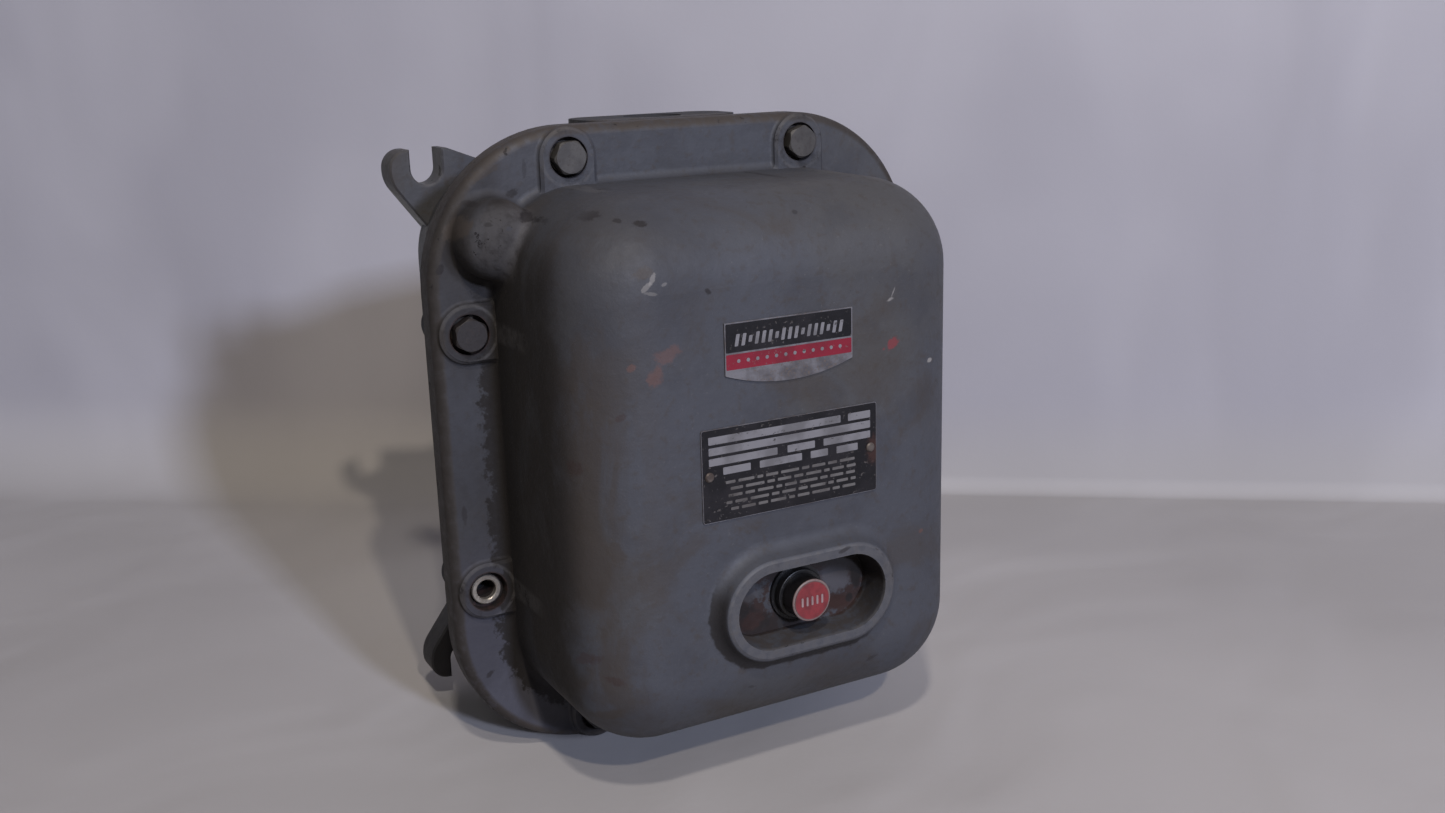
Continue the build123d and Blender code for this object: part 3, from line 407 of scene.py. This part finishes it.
    colour = putMarks(shop, colour, x, z, frontMarks, warp, front)
    colour = putMarks(shop, colour, x, z, flangeMarks, warp, low)

    dirty = (valley * lowerLeft).most(wall).most(seat).most(onFloor * 0.7)
    roughness = enamel["rough"] + (fine - 0.5) * 0.3 + dirty * 0.2 - rub * 0.08 + chip * 0.15
    sand = shop.noise(1.5, 4, 0.6)
    swell = shop.noise(16, 2)
    normal = shop.bump(swell, 0.5)
    normal = shop.bump(sand + fine * 0.8 - chip * 0.6 - onFloor * ragged * 1.5, 0.11, normal)
    return shop.finish(colour, roughness, 0.0, normal, Specular_IOR_Level=0.3)


# the base casting in millimetres: its outline, and the slots in its ears
baseCasting = {"outline": (220, 258, 58), "slotX": 89.8, "slotZ": 114, "slotR": 7.0}


def baseEnamel():
    shop = Shop("baseEnamel")
    x, y, z = shop.axes()
    colour, patch, fine = enamelBase(shop)
    ragged = shop.noise(8, 5, 0.7)
    rimEdge = roundBox(x, z, *baseCasting["outline"])
    rim = rimEdge.rise(-4, -0.6) * y.fall(-63, -60)
    colour = shop.mix(colour, enamel["brown"], rim * (fine.rise(0.36, 0.6) * 0.5 + 0.35))
    joint = abs(y + casting["joint"]).fall(0.2, 0.9)
    colour = shop.mix(colour, enamel["dirtAndShade"], joint)
    streak = shop.noise(24, 5, 0.65, 0.3, shop.stretched(1, 1, 0.4))
    colour = shop.mix(colour, enamel["brown"], streak.rise(0.5, 0.66) * 0.45)
    # painted shade and dirt on the base between the ears and the flange
    under = y.band(-62, -16, 6) * abs(rimEdge).fall(6, 26)
    colour = shop.mix(colour, enamel["dirtAndShade"], under * (patch * 0.7 + 0.15))
    # painted shade and dirt on the base's lowest part and its lower ear
    lowestShadeAndDirt = (0 - z).rise(80, 104) * y.rise(-40, -20)
    colour = shop.mix(colour, enamel["dirtAndShade"], lowestShadeAndDirt * 0.8)

    # ears: paint rubbed off round the slots
    slot = far(abs(x) - baseCasting["slotX"], (abs(z) - baseCasting["slotZ"]).least(0))
    slot = slot - baseCasting["slotR"]
    ear = y.rise(-16, -13)
    worn = slot.fall(0.2, 1.8) * ear * z.rise(0, 20)
    colour = shop.mix(colour, enamel["polish"], worn * fine.rise(0.4, 0.6) * 0.5)
    chip = (ragged + worn * 0.08).rise(0.68, 0.69)
    colour = shop.mix(colour, enamel["bare"], chip * 0.85)
    back = y.rise(-1.2, -0.2)
    colour = shop.mix(colour, enamel["rust"], back * patch.rise(0.40, 0.7) * 0.5)

    roughness = 0.58 + (fine - 0.5) * 0.3 + under * 0.15 + chip * 0.15
    sand = shop.noise(1.8, 4, 0.6)
    swell = shop.noise(18, 2)
    normal = shop.bump(swell, 0.5)
    normal = shop.bump(sand + fine * 0.8 - chip * 0.6, 0.14, normal)
    return shop.finish(colour, roughness, 0.0, normal, Specular_IOR_Level=0.3)


def agedMetal(name, clean, dull, spot, metallic, rough, size):
    # a plain metal with tarnish, specks and fine scratches; size is that of its patches
    shop = Shop(name)
    cloud = shop.noise(size * 3, 4)
    fine = shop.noise(size * 0.4, 4, 0.65)
    scratch = shop.noise(size * 0.35, 2, 0.5)
    colour = shop.mix(clean, dull, cloud.rise(0.38, 0.62))
    speck = fine.rise(0.60, 0.68)
    colour = shop.mix(colour, spot, speck * 0.7)
    roughness = rough + (scratch - 0.5) * 0.3 + speck * 0.2
    normal = shop.bump(scratch + fine * 0.5, 0.03)
    return shop.finish(colour, roughness, metallic - speck * 0.4, normal)


def boltMetal():
    # painted over once, now dull and stained
    shop = Shop("boltHeads")
    x, y, _ = shop.axes()
    cloud = shop.noise(7, 4)
    fine = shop.noise(1.2, 5, 0.65)
    colour = shop.mix(tint(67, 64, 61), tint(56, 53, 51), cloud.rise(0.4, 0.62))
    colour = shop.mix(colour, tint(32, 27, 26), (0 - x).rise(70, 90) * 0.95)
    colour = shop.mix(colour, tint(40, 31, 27), fine.rise(0.54, 0.66) * 0.6)
    shank = y.rise(-85.5, -82)
    colour = shop.mix(colour, tint(32, 27, 24), shank)
    roughness = 0.5 + (fine - 0.5) * 0.35
    normal = shop.bump(fine + cloud * 0.6, 0.06)
    return shop.finish(colour, roughness, 0.15, normal)


def laminated(name, light, dark, pitch, axis):
    # stacked sheets seen on edge
    shop = Shop(name)
    lines = shop.axes()[axis] / pitch
    groove = (lines - lines.maths("FLOOR") - 0.5).maths("ABSOLUTE").rise(0.36, 0.48)
    fine = shop.noise(3, 4)
    colour = shop.mix(light, dark, groove * 0.8)
    colour = shop.mix(colour, dark, fine.rise(0.5, 0.7) * 0.5)
    normal = shop.bump(fine * 0.4 - groove, 0.12)
    return shop.finish(colour, 0.42 + (fine - 0.5) * 0.3, 0.7, normal)


def moulded(name, light, dark, rough, grain=0.05):
    shop = Shop(name)
    cloud = shop.noise(22, 4)
    fine = shop.noise(0.9, 4, 0.6)
    colour = shop.mix(dark, light, cloud.rise(0.4, 0.65))
    dust = fine.rise(0.60, 0.74)
    colour = shop.mix(colour, tint(92, 86, 80), dust * 0.35)
    roughness = rough + (fine - 0.5) * 0.25 + dust * 0.15
    normal = shop.bump(fine, grain)
    return shop.finish(colour, roughness, 0.0, normal)


def buttonSkin():
    # black moulding with a worn pale edge at the front
    shop = Shop("buttonSkin")
    x, y, z = shop.axes()
    reach = far(x - casting["wellX"], z - casting["wellZ"])
    fine = shop.noise(0.9, 4, 0.6)
    colour = shop.mix(tint(26, 24, 25), tint(16, 15, 16), fine.rise(0.4, 0.6))
    edge = y.fall(-169.9, -169.6) * reach.rise(7.8, 7.95) * (fine.rise(0.3, 0.5) * 0.5 + 0.5)
    colour = shop.mix(colour, tint(112, 96, 92), edge)
    normal = shop.bump(fine, 0.03)
    return shop.finish(colour, 0.34 + (fine - 0.5) * 0.25 + edge * 0.15, 0.0, normal)


def redDisc():
    shop = Shop("redDisc")
    x, _, z = shop.axes()
    reach = far(x - casting["wellX"], z - casting["wellZ"])
    fine = shop.noise(1.1, 5, 0.6)
    cloud = shop.noise(5, 3)
    colour = shop.mix(tint(118, 40, 44), tint(98, 34, 38), cloud.rise(0.4, 0.62))
    colour = shop.mix(colour, tint(78, 34, 33), fine.rise(0.58, 0.68) * 0.5)
    rim = reach.rise(7.55, 7.8)
    colour = shop.mix(colour, tint(92, 72, 68), rim * 0.7)
    roughness = 0.42 + (fine - 0.5) * 0.3
    normal = shop.bump(fine, 0.04)
    return shop.finish(colour, roughness, 0.0, normal)


# where rust has spread from the data plate's right pin
pinRust = {"x": 37.2, "z": 3.8, "squeeze": 0.55, "ragged": 6}


def ink(name, main, worn, bare, rough=0.38):
    shop = Shop(name)
    cloud = shop.noise(12, 4)
    fine = shop.noise(1.6, 5, 0.7)
    scratch = shop.noise(2.0, 3, 0.6, 0.3, shop.stretched(0.25, 1, 1.6, (0, 24, 0)))
    x, _, z = shop.axes()
    colour = shop.mix(main, worn, cloud.rise(0.42, 0.66) * 0.8)
    flaw = (fine + (scratch - 0.5) * 0.5).rise(0.63, 0.67)
    colour = shop.mix(colour, bare, flaw * 0.8)
    # rust that has crept from the right pin to the plate's edge
    creep = far(x - pinRust["x"], (z - pinRust["z"]) * pinRust["squeeze"]) - fine * pinRust["ragged"]
    colour = shop.mix(colour, tint(52, 34, 30), creep.fall(-1.2, 1.2) * 0.9)
    roughness = rough + (fine - 0.5) * 0.3 + flaw * 0.1
    normal = shop.bump(fine - flaw, 0.03)
    return shop.finish(colour, roughness, 0.0, normal, Specular_IOR_Level=0.3)


def plateMetal():
    shop = Shop("plateAluminium")
    cloud = shop.noise(9, 4)
    fine = shop.noise(1.1, 5, 0.7)
    brushed = shop.noise(1.4, 3, 0.6, 0.0, shop.stretched(0.08, 1, 1.0))
    colour = shop.mix(tint(120, 118, 121), tint(88, 85, 87), cloud.rise(0.38, 0.64))
    stain = (fine + cloud * 0.25).rise(0.66, 0.76)
    colour = shop.mix(colour, tint(86, 74, 66), stain * 0.8)
    roughness = 0.42 + (brushed - 0.5) * 0.4 + stain * 0.2
    normal = shop.bump(brushed + fine * 0.5, 0.03)
    return shop.finish(colour, roughness, 0.55 - stain * 0.4, normal)


finishes = {
    "coverEnamel": coverEnamel(),
    "baseEnamel": baseEnamel(),
    "boltHeads": boltMetal(),
    "collar": agedMetal("collarRings", tint(196, 190, 180), tint(160, 152, 142), tint(96, 70, 52),
                        0.75, 0.34, 3),
    "plate": plateMetal(),
    "blackInk": ink("blackInk", tint(17, 16, 19), tint(29, 27, 30), tint(78, 73, 70)),
    "redInk": ink("redInk", tint(116, 28, 43), tint(94, 29, 39), tint(108, 82, 82)),
    "fieldMetal": ink("fieldMetal", tint(112, 110, 112), tint(88, 86, 87), tint(46, 42, 40), 0.5),
    "wornMetal": ink("wornMetal", tint(92, 89, 87), tint(66, 62, 60), tint(34, 31, 30), 0.5),
    "blackPlastic": moulded("blackPlastic", tint(20, 19, 19), tint(12, 11, 11), 0.4, 0.03),
    "redDisc": redDisc(),
    "buttonSkin": buttonSkin(),
    "pin": agedMetal("drivePins", tint(92, 84, 78), tint(62, 52, 46), tint(48, 34, 28),
                     0.4, 0.5, 2),
    "whiteMark": moulded("whiteMark", tint(146, 124, 122), tint(122, 100, 99), 0.5, 0.02),
    "zincScrew": agedMetal("zincScrews", tint(176, 172, 158), tint(140, 136, 124), tint(92, 76, 58),
                           0.8, 0.38, 3),
    "spring": agedMetal("springWire", tint(122, 120, 118), tint(88, 86, 84), tint(70, 52, 42),
                        0.9, 0.36, 2),
    "panel": agedMetal("zincPanel", tint(168, 166, 158), tint(142, 140, 132), tint(110, 98, 82),
                       0.8, 0.42, 12),
    "phenolic": moulded("phenolicMoulding", tint(44, 36, 32), tint(28, 24, 22), 0.42, 0.05),
    "laminations": laminated("laminations", tint(120, 120, 124), tint(46, 44, 44), 0.9, 2),
    "winding": laminated("windingWire", tint(176, 104, 62), tint(84, 44, 26), 0.7, 1),
    "copper": agedMetal("copperParts", tint(196, 132, 88), tint(150, 96, 62), tint(84, 66, 48),
                        0.9, 0.36, 3),
}
print("materials made,", len(finishes))

# finishes by node, and by material slot for the rest
nodeFinish = {
    "cover_casting": "coverEnamel", "base_casting": "baseEnamel", "cover_bolts": "boltHeads",
    "bolt_collars": "collar", "data_plate": "plate", "badge_plate": "plate", "plate_pins": "pin",
    "reset_button": "buttonSkin", "reset_disc": "redDisc", "reset_guide": "blackPlastic",
    "coil_winding": "winding", "magnet_core": "laminations", "armature": "laminations",
}
slotFinish = {
    "painted_casting": "baseEnamel", "bolt_steel": "zincScrew", "plate_metal": "plate",
    "black_plastic": "blackPlastic", "red_plastic": "redDisc", "spring_steel": "spring",
    "panel_steel": "panel", "phenolic": "phenolic", "lamination": "laminations",
    "winding": "winding", "copper": "copper",
}


def dressNodes():
    slots = {row["node"]: row["material_slot"] for row in frame["record"]["subparts"]}
    for name, part in nodes.items():
        finish = finishes[nodeFinish.get(name) or slotFinish[slots[name]]]
        part.data.materials.clear()
        part.data.materials.append(finish)


dressNodes()
print("parts dressed")


def addPiece(name, mesh, finish, body):
    # mesh is a bmesh in millimetres, in place
    bmesh.ops.scale(mesh, vec=(mm, mm, mm), verts=mesh.verts)
    bmesh.ops.recalc_face_normals(mesh, faces=mesh.faces)
    data = bpy.data.meshes.new(name)
    mesh.to_mesh(data)
    mesh.free()
    data.materials.append(finishes[finish])
    piece = bpy.data.objects.new(name, data)
    scene.collection.objects.link(piece)
    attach(piece, body)
    return piece


def addBlock(mesh, low, high, corner, steps=3):
    # a block between two corners, with its four edges along Y rounded
    size = [high[i] - low[i] for i in range(3)]
    middle = [(high[i] + low[i]) / 2 for i in range(3)]
    matrix = Matrix.Translation(middle) @ Matrix.Diagonal((*size, 1))
    made = bmesh.ops.create_cube(mesh, size=1.0, matrix=matrix)
    edges = {edge for vert in made["verts"] for edge in vert.link_edges}
    upright = [edge for edge in edges
               if abs(edge.verts[0].co.y - edge.verts[1].co.y) > size[1] * 0.9]
    bmesh.ops.bevel(mesh, geom=upright, offset=corner, segments=steps, profile=0.5,
                    affect="EDGES", material=-1)


# the data plate: ink lies on the metal, and blank fields stand a little prouder
dataPlate = {"x": -0.8, "z": 5.0, "width": 79.0, "height": 36.6, "front": -166.3, "border": 0.2,
             "inkT": 0.04, "fieldT": 0.08, "inkCorner": 0.8, "fieldCorner": 0.35}

# blank fields: left, right, top, bottom from the plate's upper left corner
dataFields = [
    (3.0, 62.0, 2.9, 5.9), (65.5, 76.0, 2.9, 5.9), (3.0, 76.0, 7.1, 10.1),
    (3.0, 33.0, 11.3, 14.2), (37.5, 50.0, 11.3, 14.2), (54.0, 76.0, 11.3, 14.2),
    (9.0, 21.0, 15.4, 18.3), (25.0, 44.0, 15.4, 18.3), (48.0, 56.0, 15.4, 18.3),
    (60.0, 70.0, 15.4, 18.3),
]
# rows of short dashes below them
dashes = {"left": 10.0, "right": 69.0, "tops": (21.0, 23.7, 26.4, 29.1, 31.8), "height": 1.15,
          "lengths": (4.2, 7.0, 2.6, 5.4, 8.2, 3.4, 6.1), "gap": 1.3, "corner": 0.3}


def makeDataPlate():
    left = dataPlate["x"] - dataPlate["width"] / 2
    top = dataPlate["z"] + dataPlate["height"] / 2
    front = dataPlate["front"]
    edge = dataPlate["border"]
    inkMesh = bmesh.new()
    addBlock(inkMesh, (left + edge, front - dataPlate["inkT"], top - dataPlate["height"] + edge),
             (left + dataPlate["width"] - edge, front, top - edge), dataPlate["inkCorner"])
    addPiece("dataPlateInk", inkMesh, "blackInk", "enclosure")
    fields = bmesh.new()
    proud = front - dataPlate["fieldT"]
    for x0, x1, z0, z1 in dataFields:
        addBlock(fields, (left + x0, proud, top - z1), (left + x1, front, top - z0),
                 dataPlate["fieldCorner"])
    addPiece("dataPlateFields", fields, "fieldMetal", "enclosure")
    rows = bmesh.new()
    for row, start in enumerate(dashes["tops"]):
        at = dashes["left"] + (row * 5) % 3     # each row starts at its own place
        turn = row * 3
        while at < dashes["right"] - dashes["gap"]:
            end = min(at + dashes["lengths"][turn % len(dashes["lengths"])], dashes["right"])
            addBlock(rows, (left + at, proud, top - start - dashes["height"]),
                     (left + end, front, top - start), dashes["corner"], 2)
            at = end + dashes["gap"]
            turn += 1
    addPiece("dataPlateDashes", rows, "wornMetal", "enclosure")


makeDataPlate()

# the badge: black above split, red down to redLow, bare metal below
badge = {"x": -0.8, "z": 50.4, "width": 56.6, "height": 25.0, "front": -166.3,
         "border": 0.45, "inkT": 0.05, "lineT": 0.1, "split": 0.8, "halfGap": 0.35, "redLow": -5.4,
         "corner": 0.4}
# bars across the black field, every fourth a short one, and a row of dots in the red one
badgeBars = {"count": 17, "reach": 23.0, "width": 1.5, "height": 4.6, "z": 5.7, "slant": 0.9,
             "every": 4, "short": 0.55, "corner": 0.3}
badgeDots = {"count": 12, "pitch": 4.1, "radius": 0.72, "z": -2.3, "sides": 20}


def makeBadge():
    half = badge["width"] / 2 - badge["border"]
    top = badge["z"] + badge["height"] / 2 - badge["border"]
    x = badge["x"]
    z = badge["z"]
    front = badge["front"]
    black = bmesh.new()
    inkFront = front - badge["inkT"]
    addBlock(black, (x - half, inkFront, z + badge["split"] + badge["halfGap"]),
             (x + half, front, top), badge["corner"])
    addPiece("badgeBlack", black, "blackInk", "enclosure")
    red = bmesh.new()
    addBlock(red, (x - half, inkFront, z + badge["redLow"]),
             (x + half, front, z + badge["split"] - badge["halfGap"]), badge["corner"])
    addPiece("badgeRed", red, "redInk", "enclosure")
    lines = bmesh.new()
    lineFront = front - badge["lineT"]
    pitch = 2 * badgeBars["reach"] / (badgeBars["count"] - 1)
    for k in range(badgeBars["count"]):
        middle = x - badgeBars["reach"] + k * pitch
        short = k % badgeBars["every"] == 2
        tall = badgeBars["height"] * (badgeBars["short"] if short else 1.0) / 2
        wide = badgeBars["width"] / 2
        known = set(lines.verts)
        level = z + badgeBars["z"]
        addBlock(lines, (middle - wide, lineFront, level - tall),
                 (middle + wide, front, level + tall), badgeBars["corner"], 2)
        for vert in set(lines.verts) - known:
            vert.co.x += (vert.co.z - z - badgeBars["z"]) / badgeBars["height"] * badgeBars["slant"]
    for k in range(badgeDots["count"]):
        offset = (k - (badgeDots["count"] - 1) / 2) * badgeDots["pitch"]
        matrix = Matrix.Translation((x + offset, front - badge["lineT"] / 2, z + badgeDots["z"]))
        matrix = matrix @ Euler((math.pi / 2, 0, 0)).to_matrix().to_4x4()
        bmesh.ops.create_cone(lines, cap_ends=True, segments=badgeDots["sides"],
                              radius1=badgeDots["radius"], radius2=badgeDots["radius"],
                              depth=badge["lineT"], matrix=matrix)
    addPiece("badgeLines", lines, "fieldMetal", "enclosure")


makeBadge()
print("plates made")

# ribs on the reset disc
resetMark = {"x": 5.0, "z": -52.5, "front": -170.4, "ribs": 5, "pitch": 2.3, "width": 0.9,
             "height": 3.8, "proud": 0.22, "corner": 0.4}


def makeResetMark():
    # five short ribs that a fingertip can find
    mesh = bmesh.new()
    for k in range(resetMark["ribs"]):
        x = resetMark["x"] + (k - (resetMark["ribs"] - 1) / 2) * resetMark["pitch"]
        low = (x - resetMark["width"] / 2, resetMark["front"] - resetMark["proud"],
               resetMark["z"] - resetMark["height"] / 2)
        high = (x + resetMark["width"] / 2, resetMark["front"],
                resetMark["z"] + resetMark["height"] / 2)
        addBlock(mesh, low, high, resetMark["corner"])
    addPiece("resetRibs", mesh, "whiteMark", "button")


makeResetMark()

# threads in the conduit entries; root and crest are half widths in pitches
threads = [
    {"name": "topEntryThread", "at": (0, -52.5, 132.0), "radius": 12.66, "way": -1},
    {"name": "bottomEntryThread", "at": (0, -52.5, -131.8), "radius": 10.46, "way": 1},
]
threadForm = {"pitch": 1.8, "turns": 11, "depth": 0.95, "root": 0.44, "crest": 0.07, "steps": 48}


def makeThread(plan):
    # ridges round the inside of a bore, one closed ring a turn
    mesh = bmesh.new()
    x, y, z = plan["at"]
    root = threadForm["pitch"] * threadForm["root"]
    crest = threadForm["pitch"] * threadForm["crest"]
    outer = plan["radius"]
    inner = outer - threadForm["depth"]
    for k in range(threadForm["turns"]):
        height = z + plan["way"] * k * threadForm["pitch"]
        outline = [(outer, height - root), (inner, height - crest),
                   (inner, height + crest), (outer, height + root)]
        verts = [mesh.verts.new((x + reach, y, level)) for reach, level in outline]
        edges = [mesh.edges.new((verts[i], verts[(i + 1) % 4])) for i in range(4)]
        bmesh.ops.spin(mesh, geom=verts + edges, cent=(x, y, z), axis=(0, 0, 1), angle=math.tau,
                       steps=threadForm["steps"], use_merge=True, use_duplicate=False)
    addPiece(plan["name"], mesh, "baseEnamel", "enclosure")


for plan in threads:
    makeThread(plan)
print("threads made")

# wound springs; fixed and free are their ends along Y, keep their share when pressed
springs = [
    {"name": "resetCoil", "node": "reset_spring", "body": "enclosure", "joint": "reset_press",
     "at": [(5.0, -52.5)], "radius": 6.4, "fixed": -147.3, "free": -158.2,
     "turns": 4, "keep": 0.48},
    {"name": "rodCoil", "node": "rod_spring", "body": "enclosure", "joint": "rod_push",
     "at": [(5.0, -52.5)], "radius": 4.3, "fixed": -73.3, "free": -82.7,
     "turns": 3, "keep": 0.40},
    {"name": "kickoutCoils", "node": "kickout_springs", "body": "enclosure", "joint": "armature_pull",
     "at": [(-33, 50), (33, 50)], "radius": 3.4, "fixed": -45.3, "free": -73.5,
     "turns": 9, "keep": 0.78},
    {"name": "contactCoils", "node": "contact_springs", "body": "crosshead", "joint": "contact_overtravel",
     "at": [(-26, 50), (0, 50), (26, 50)], "radius": 2.4, "fixed": -98.0, "free": -90.4,
     "turns": 3, "keep": 0.70},
]
springWire = {"radius": 0.55, "sides": 8, "stepsPerTurn": 20}


def makeSpring(plan):
    # wire wound round the Y axis, from the fixed end to the free one
    mesh = bmesh.new()
    wire = springWire["radius"]
    steps = plan["turns"] * springWire["stepsPerTurn"]
    way = 1 if plan["free"] > plan["fixed"] else -1
    rise = plan["free"] - plan["fixed"] - 2 * wire * way
    for x, z in plan["at"]:
        start = (x + plan["radius"], plan["fixed"] + wire * way, z)
        ring = bmesh.ops.create_circle(mesh, segments=springWire["sides"], radius=wire,
                                       matrix=Matrix.Translation(start))["verts"]
        edges = list({edge for vert in ring for edge in vert.link_edges})
        bmesh.ops.spin(mesh, geom=ring + edges, cent=(x, start[1], z), axis=(0, 1, 0), steps=steps,
                       dvec=(0, rise / steps, 0), angle=plan["turns"] * math.tau, use_merge=False)
    bmesh.ops.holes_fill(mesh, edges=[edge for edge in mesh.edges if edge.is_boundary], sides=0)
    piece = addPiece(plan["name"], mesh, "spring", plan["body"])
    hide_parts(plan["node"])
    anchor = (plan["at"][0][0] * mm, plan["fixed"] * mm, plan["at"][0][1] * mm)
    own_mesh(piece)


for plan in springs:
    makeSpring(plan)
print("springs made")

# one sheet under and behind the object; foot and along give the line where it rises
stage = {"floorZ": -0.1331, "foot": (0.336, 0.074), "along": (0.80, -0.60), "reach": 2.2,
         "high": 1.6, "deep": 2.6, "leftCove": 0.06, "rightCove": 0.011, "turnFrom": 0.40,
         "turnTo": 0.484, "floorShare": 0.3, "wallFrom": 0.6, "across": 72, "lengthways": 60}


def clothSkin():
    shop = Shop("backdropCloth")
    z = shop.axes()[2]
    cloud = shop.noise(300, 3)
    fold = shop.noise(140, 2, 0.4, 0.6, shop.stretched(1, 1, 0.35, (0, 20, 0)))
    fine = shop.noise(5, 3)
    wall = z.rise(-128, -60)
    floorTone = shop.mix(tint(172, 168, 166), tint(164, 160, 158), cloud.rise(0.35, 0.65))
    folded = (cloud * 0.5 + fold * 0.5).rise(0.4, 0.6)
    wallTone = shop.mix(tint(171, 168, 172), tint(159, 156, 161), folded)
    tone = shop.mix(floorTone, wallTone, wall)
    normal = shop.bump(fold, 6.0)
    normal = shop.bump(fine, 0.08, normal)
    cloth = shop.finish(tone, 0.9, 0.0, normal)
    # the sheet has one side only, so it never stands in front of the object
    behind = shop.node("ShaderNodeNewGeometry", output="Backfacing")
    clear = shop.node("ShaderNodeBsdfTransparent")
    facing = Wire(shop, shop.shader.outputs[0])
    sheet = shop.node("ShaderNodeMixShader", None, {0: behind, 1: facing, 2: clear})
    shop.feed(shop.tree.nodes["Material Output"].inputs["Surface"], sheet)
    return cloth


def makeStage():
    # one sheet: the floor, a curve and the hanging part
    mesh = bmesh.new()
    made = bmesh.ops.create_grid(mesh, x_segments=stage["across"], y_segments=stage["lengthways"],
                                 size=1.0)
    along = Vector((*stage["along"], 0))
    inward = Vector((stage["along"][1], -stage["along"][0], 0))
    foot = Vector((*stage["foot"], stage["floorZ"]))
    for vert in made["verts"]:
        share = (vert.co.x + 1) / 2
        tight = (share - stage["turnFrom"]) / (stage["turnTo"] - stage["turnFrom"])
        cove = stage["leftCove"] + (stage["rightCove"] - stage["leftCove"]) * min(1, max(0, tight))
        length = (vert.co.y + 1) / 2
        first = stage["floorShare"]
        last = stage["wallFrom"]
        if length < first:
            back, up = cove + (first - length) / first * stage["deep"], 0.0
        elif length > last:
            back, up = 0.0, cove + (length - last) / (1 - last) * stage["high"]
        else:
            turn = (length - first) / (last - first) * math.pi / 2
            back, up = cove - cove * math.sin(turn), cove - cove * math.cos(turn)
        vert.co = foot + along * (vert.co.x * stage["reach"]) + inward * back + Vector((0, 0, up))
    mesh.normal_update()
    floorFace = min(mesh.faces, key=lambda face: face.calc_center_median().z)
    if floorFace.normal.z < 0:
        bmesh.ops.reverse_faces(mesh, faces=mesh.faces)
    data = bpy.data.meshes.new("backdrop")
    mesh.to_mesh(data)
    mesh.free()
    for face in data.polygons:
        face.use_smooth = True
    data.materials.append(clothSkin())
    sheet = bpy.data.objects.new("backdrop", data)
    scene.collection.objects.link(sheet)


makeStage()

# lamps by direction, distance, size in metres and level
lamps = [
    {"name": "coolLamp", "from": (0.04, -1.0, 0.37), "far": 4.0, "size": 0.28, "level": 0.80,
     "colour": (0.66, 0.74, 1.0), "spread": 180},
    {"name": "warmLamp", "from": (-0.20, -1.0, 0.775), "far": 2.4, "size": 0.06, "level": 0.31,
     "colour": (1.0, 0.89, 0.74), "spread": 180},
    {"name": "highLamp", "from": (-0.45, -1.0, 1.36), "far": 1.3, "size": 0.07, "level": 0.33,
     "colour": (1.0, 0.94, 0.87), "spread": 180},
    {"name": "backFill", "from": (0.0, 1.0, 0.05), "far": 0.30, "size": 0.26, "level": 0.08,
     "colour": (0.97, 0.97, 1.0), "spread": 80},
]
# light is what the surround gives, pale how it looks where it is seen
world = {"colour": (0.95, 0.95, 1.0, 1.0), "light": 0.03, "pale": 0.35}
lampAim = (0, -0.08, 0)


class Sky(Shop):
    # the world's nodes
    def __init__(self, name):
        self.world = bpy.data.worlds.new(name)
        self.world.use_nodes = True
        self.tree = self.world.node_tree

    def seen(self):
        # 1 where a ray shows the surround, 0 where it only lights
        kinds = ("Is Camera Ray", "Is Glossy Ray", "Is Transmission Ray")
        paths = self.tree.nodes.new("ShaderNodeLightPath").outputs
        seen, glossy, clear = [Wire(self, paths[kind]) for kind in kinds]
        return (seen + glossy + clear).least(1)


def makeLight():
    middle = Vector(lampAim)
    for plan in lamps:
        data = bpy.data.lights.new(plan["name"], "AREA")
        data.size = plan["size"]
        # power at which a white sheet facing the lamp renders at the level
        data.energy = plan["level"] * (math.pi * plan["far"]) ** 2
        data.color = plan["colour"]
        data.spread = math.radians(plan["spread"])
        lamp = bpy.data.objects.new(plan["name"], data)
        towards = Vector(plan["from"]).normalized()
        lamp.location = middle + towards * plan["far"]
        lamp.rotation_euler = towards.to_track_quat("Z", "Y").to_euler()
        scene.collection.objects.link(lamp)
    sky = Sky("studioWorld")
    back = sky.tree.nodes["Background"]
    back.inputs["Color"].default_value = world["colour"]
    sky.feed(back.inputs["Strength"], sky.seen() * (world["pale"] - world["light"]) + world["light"])
    scene.world = sky.world


makeLight()
print("light set")
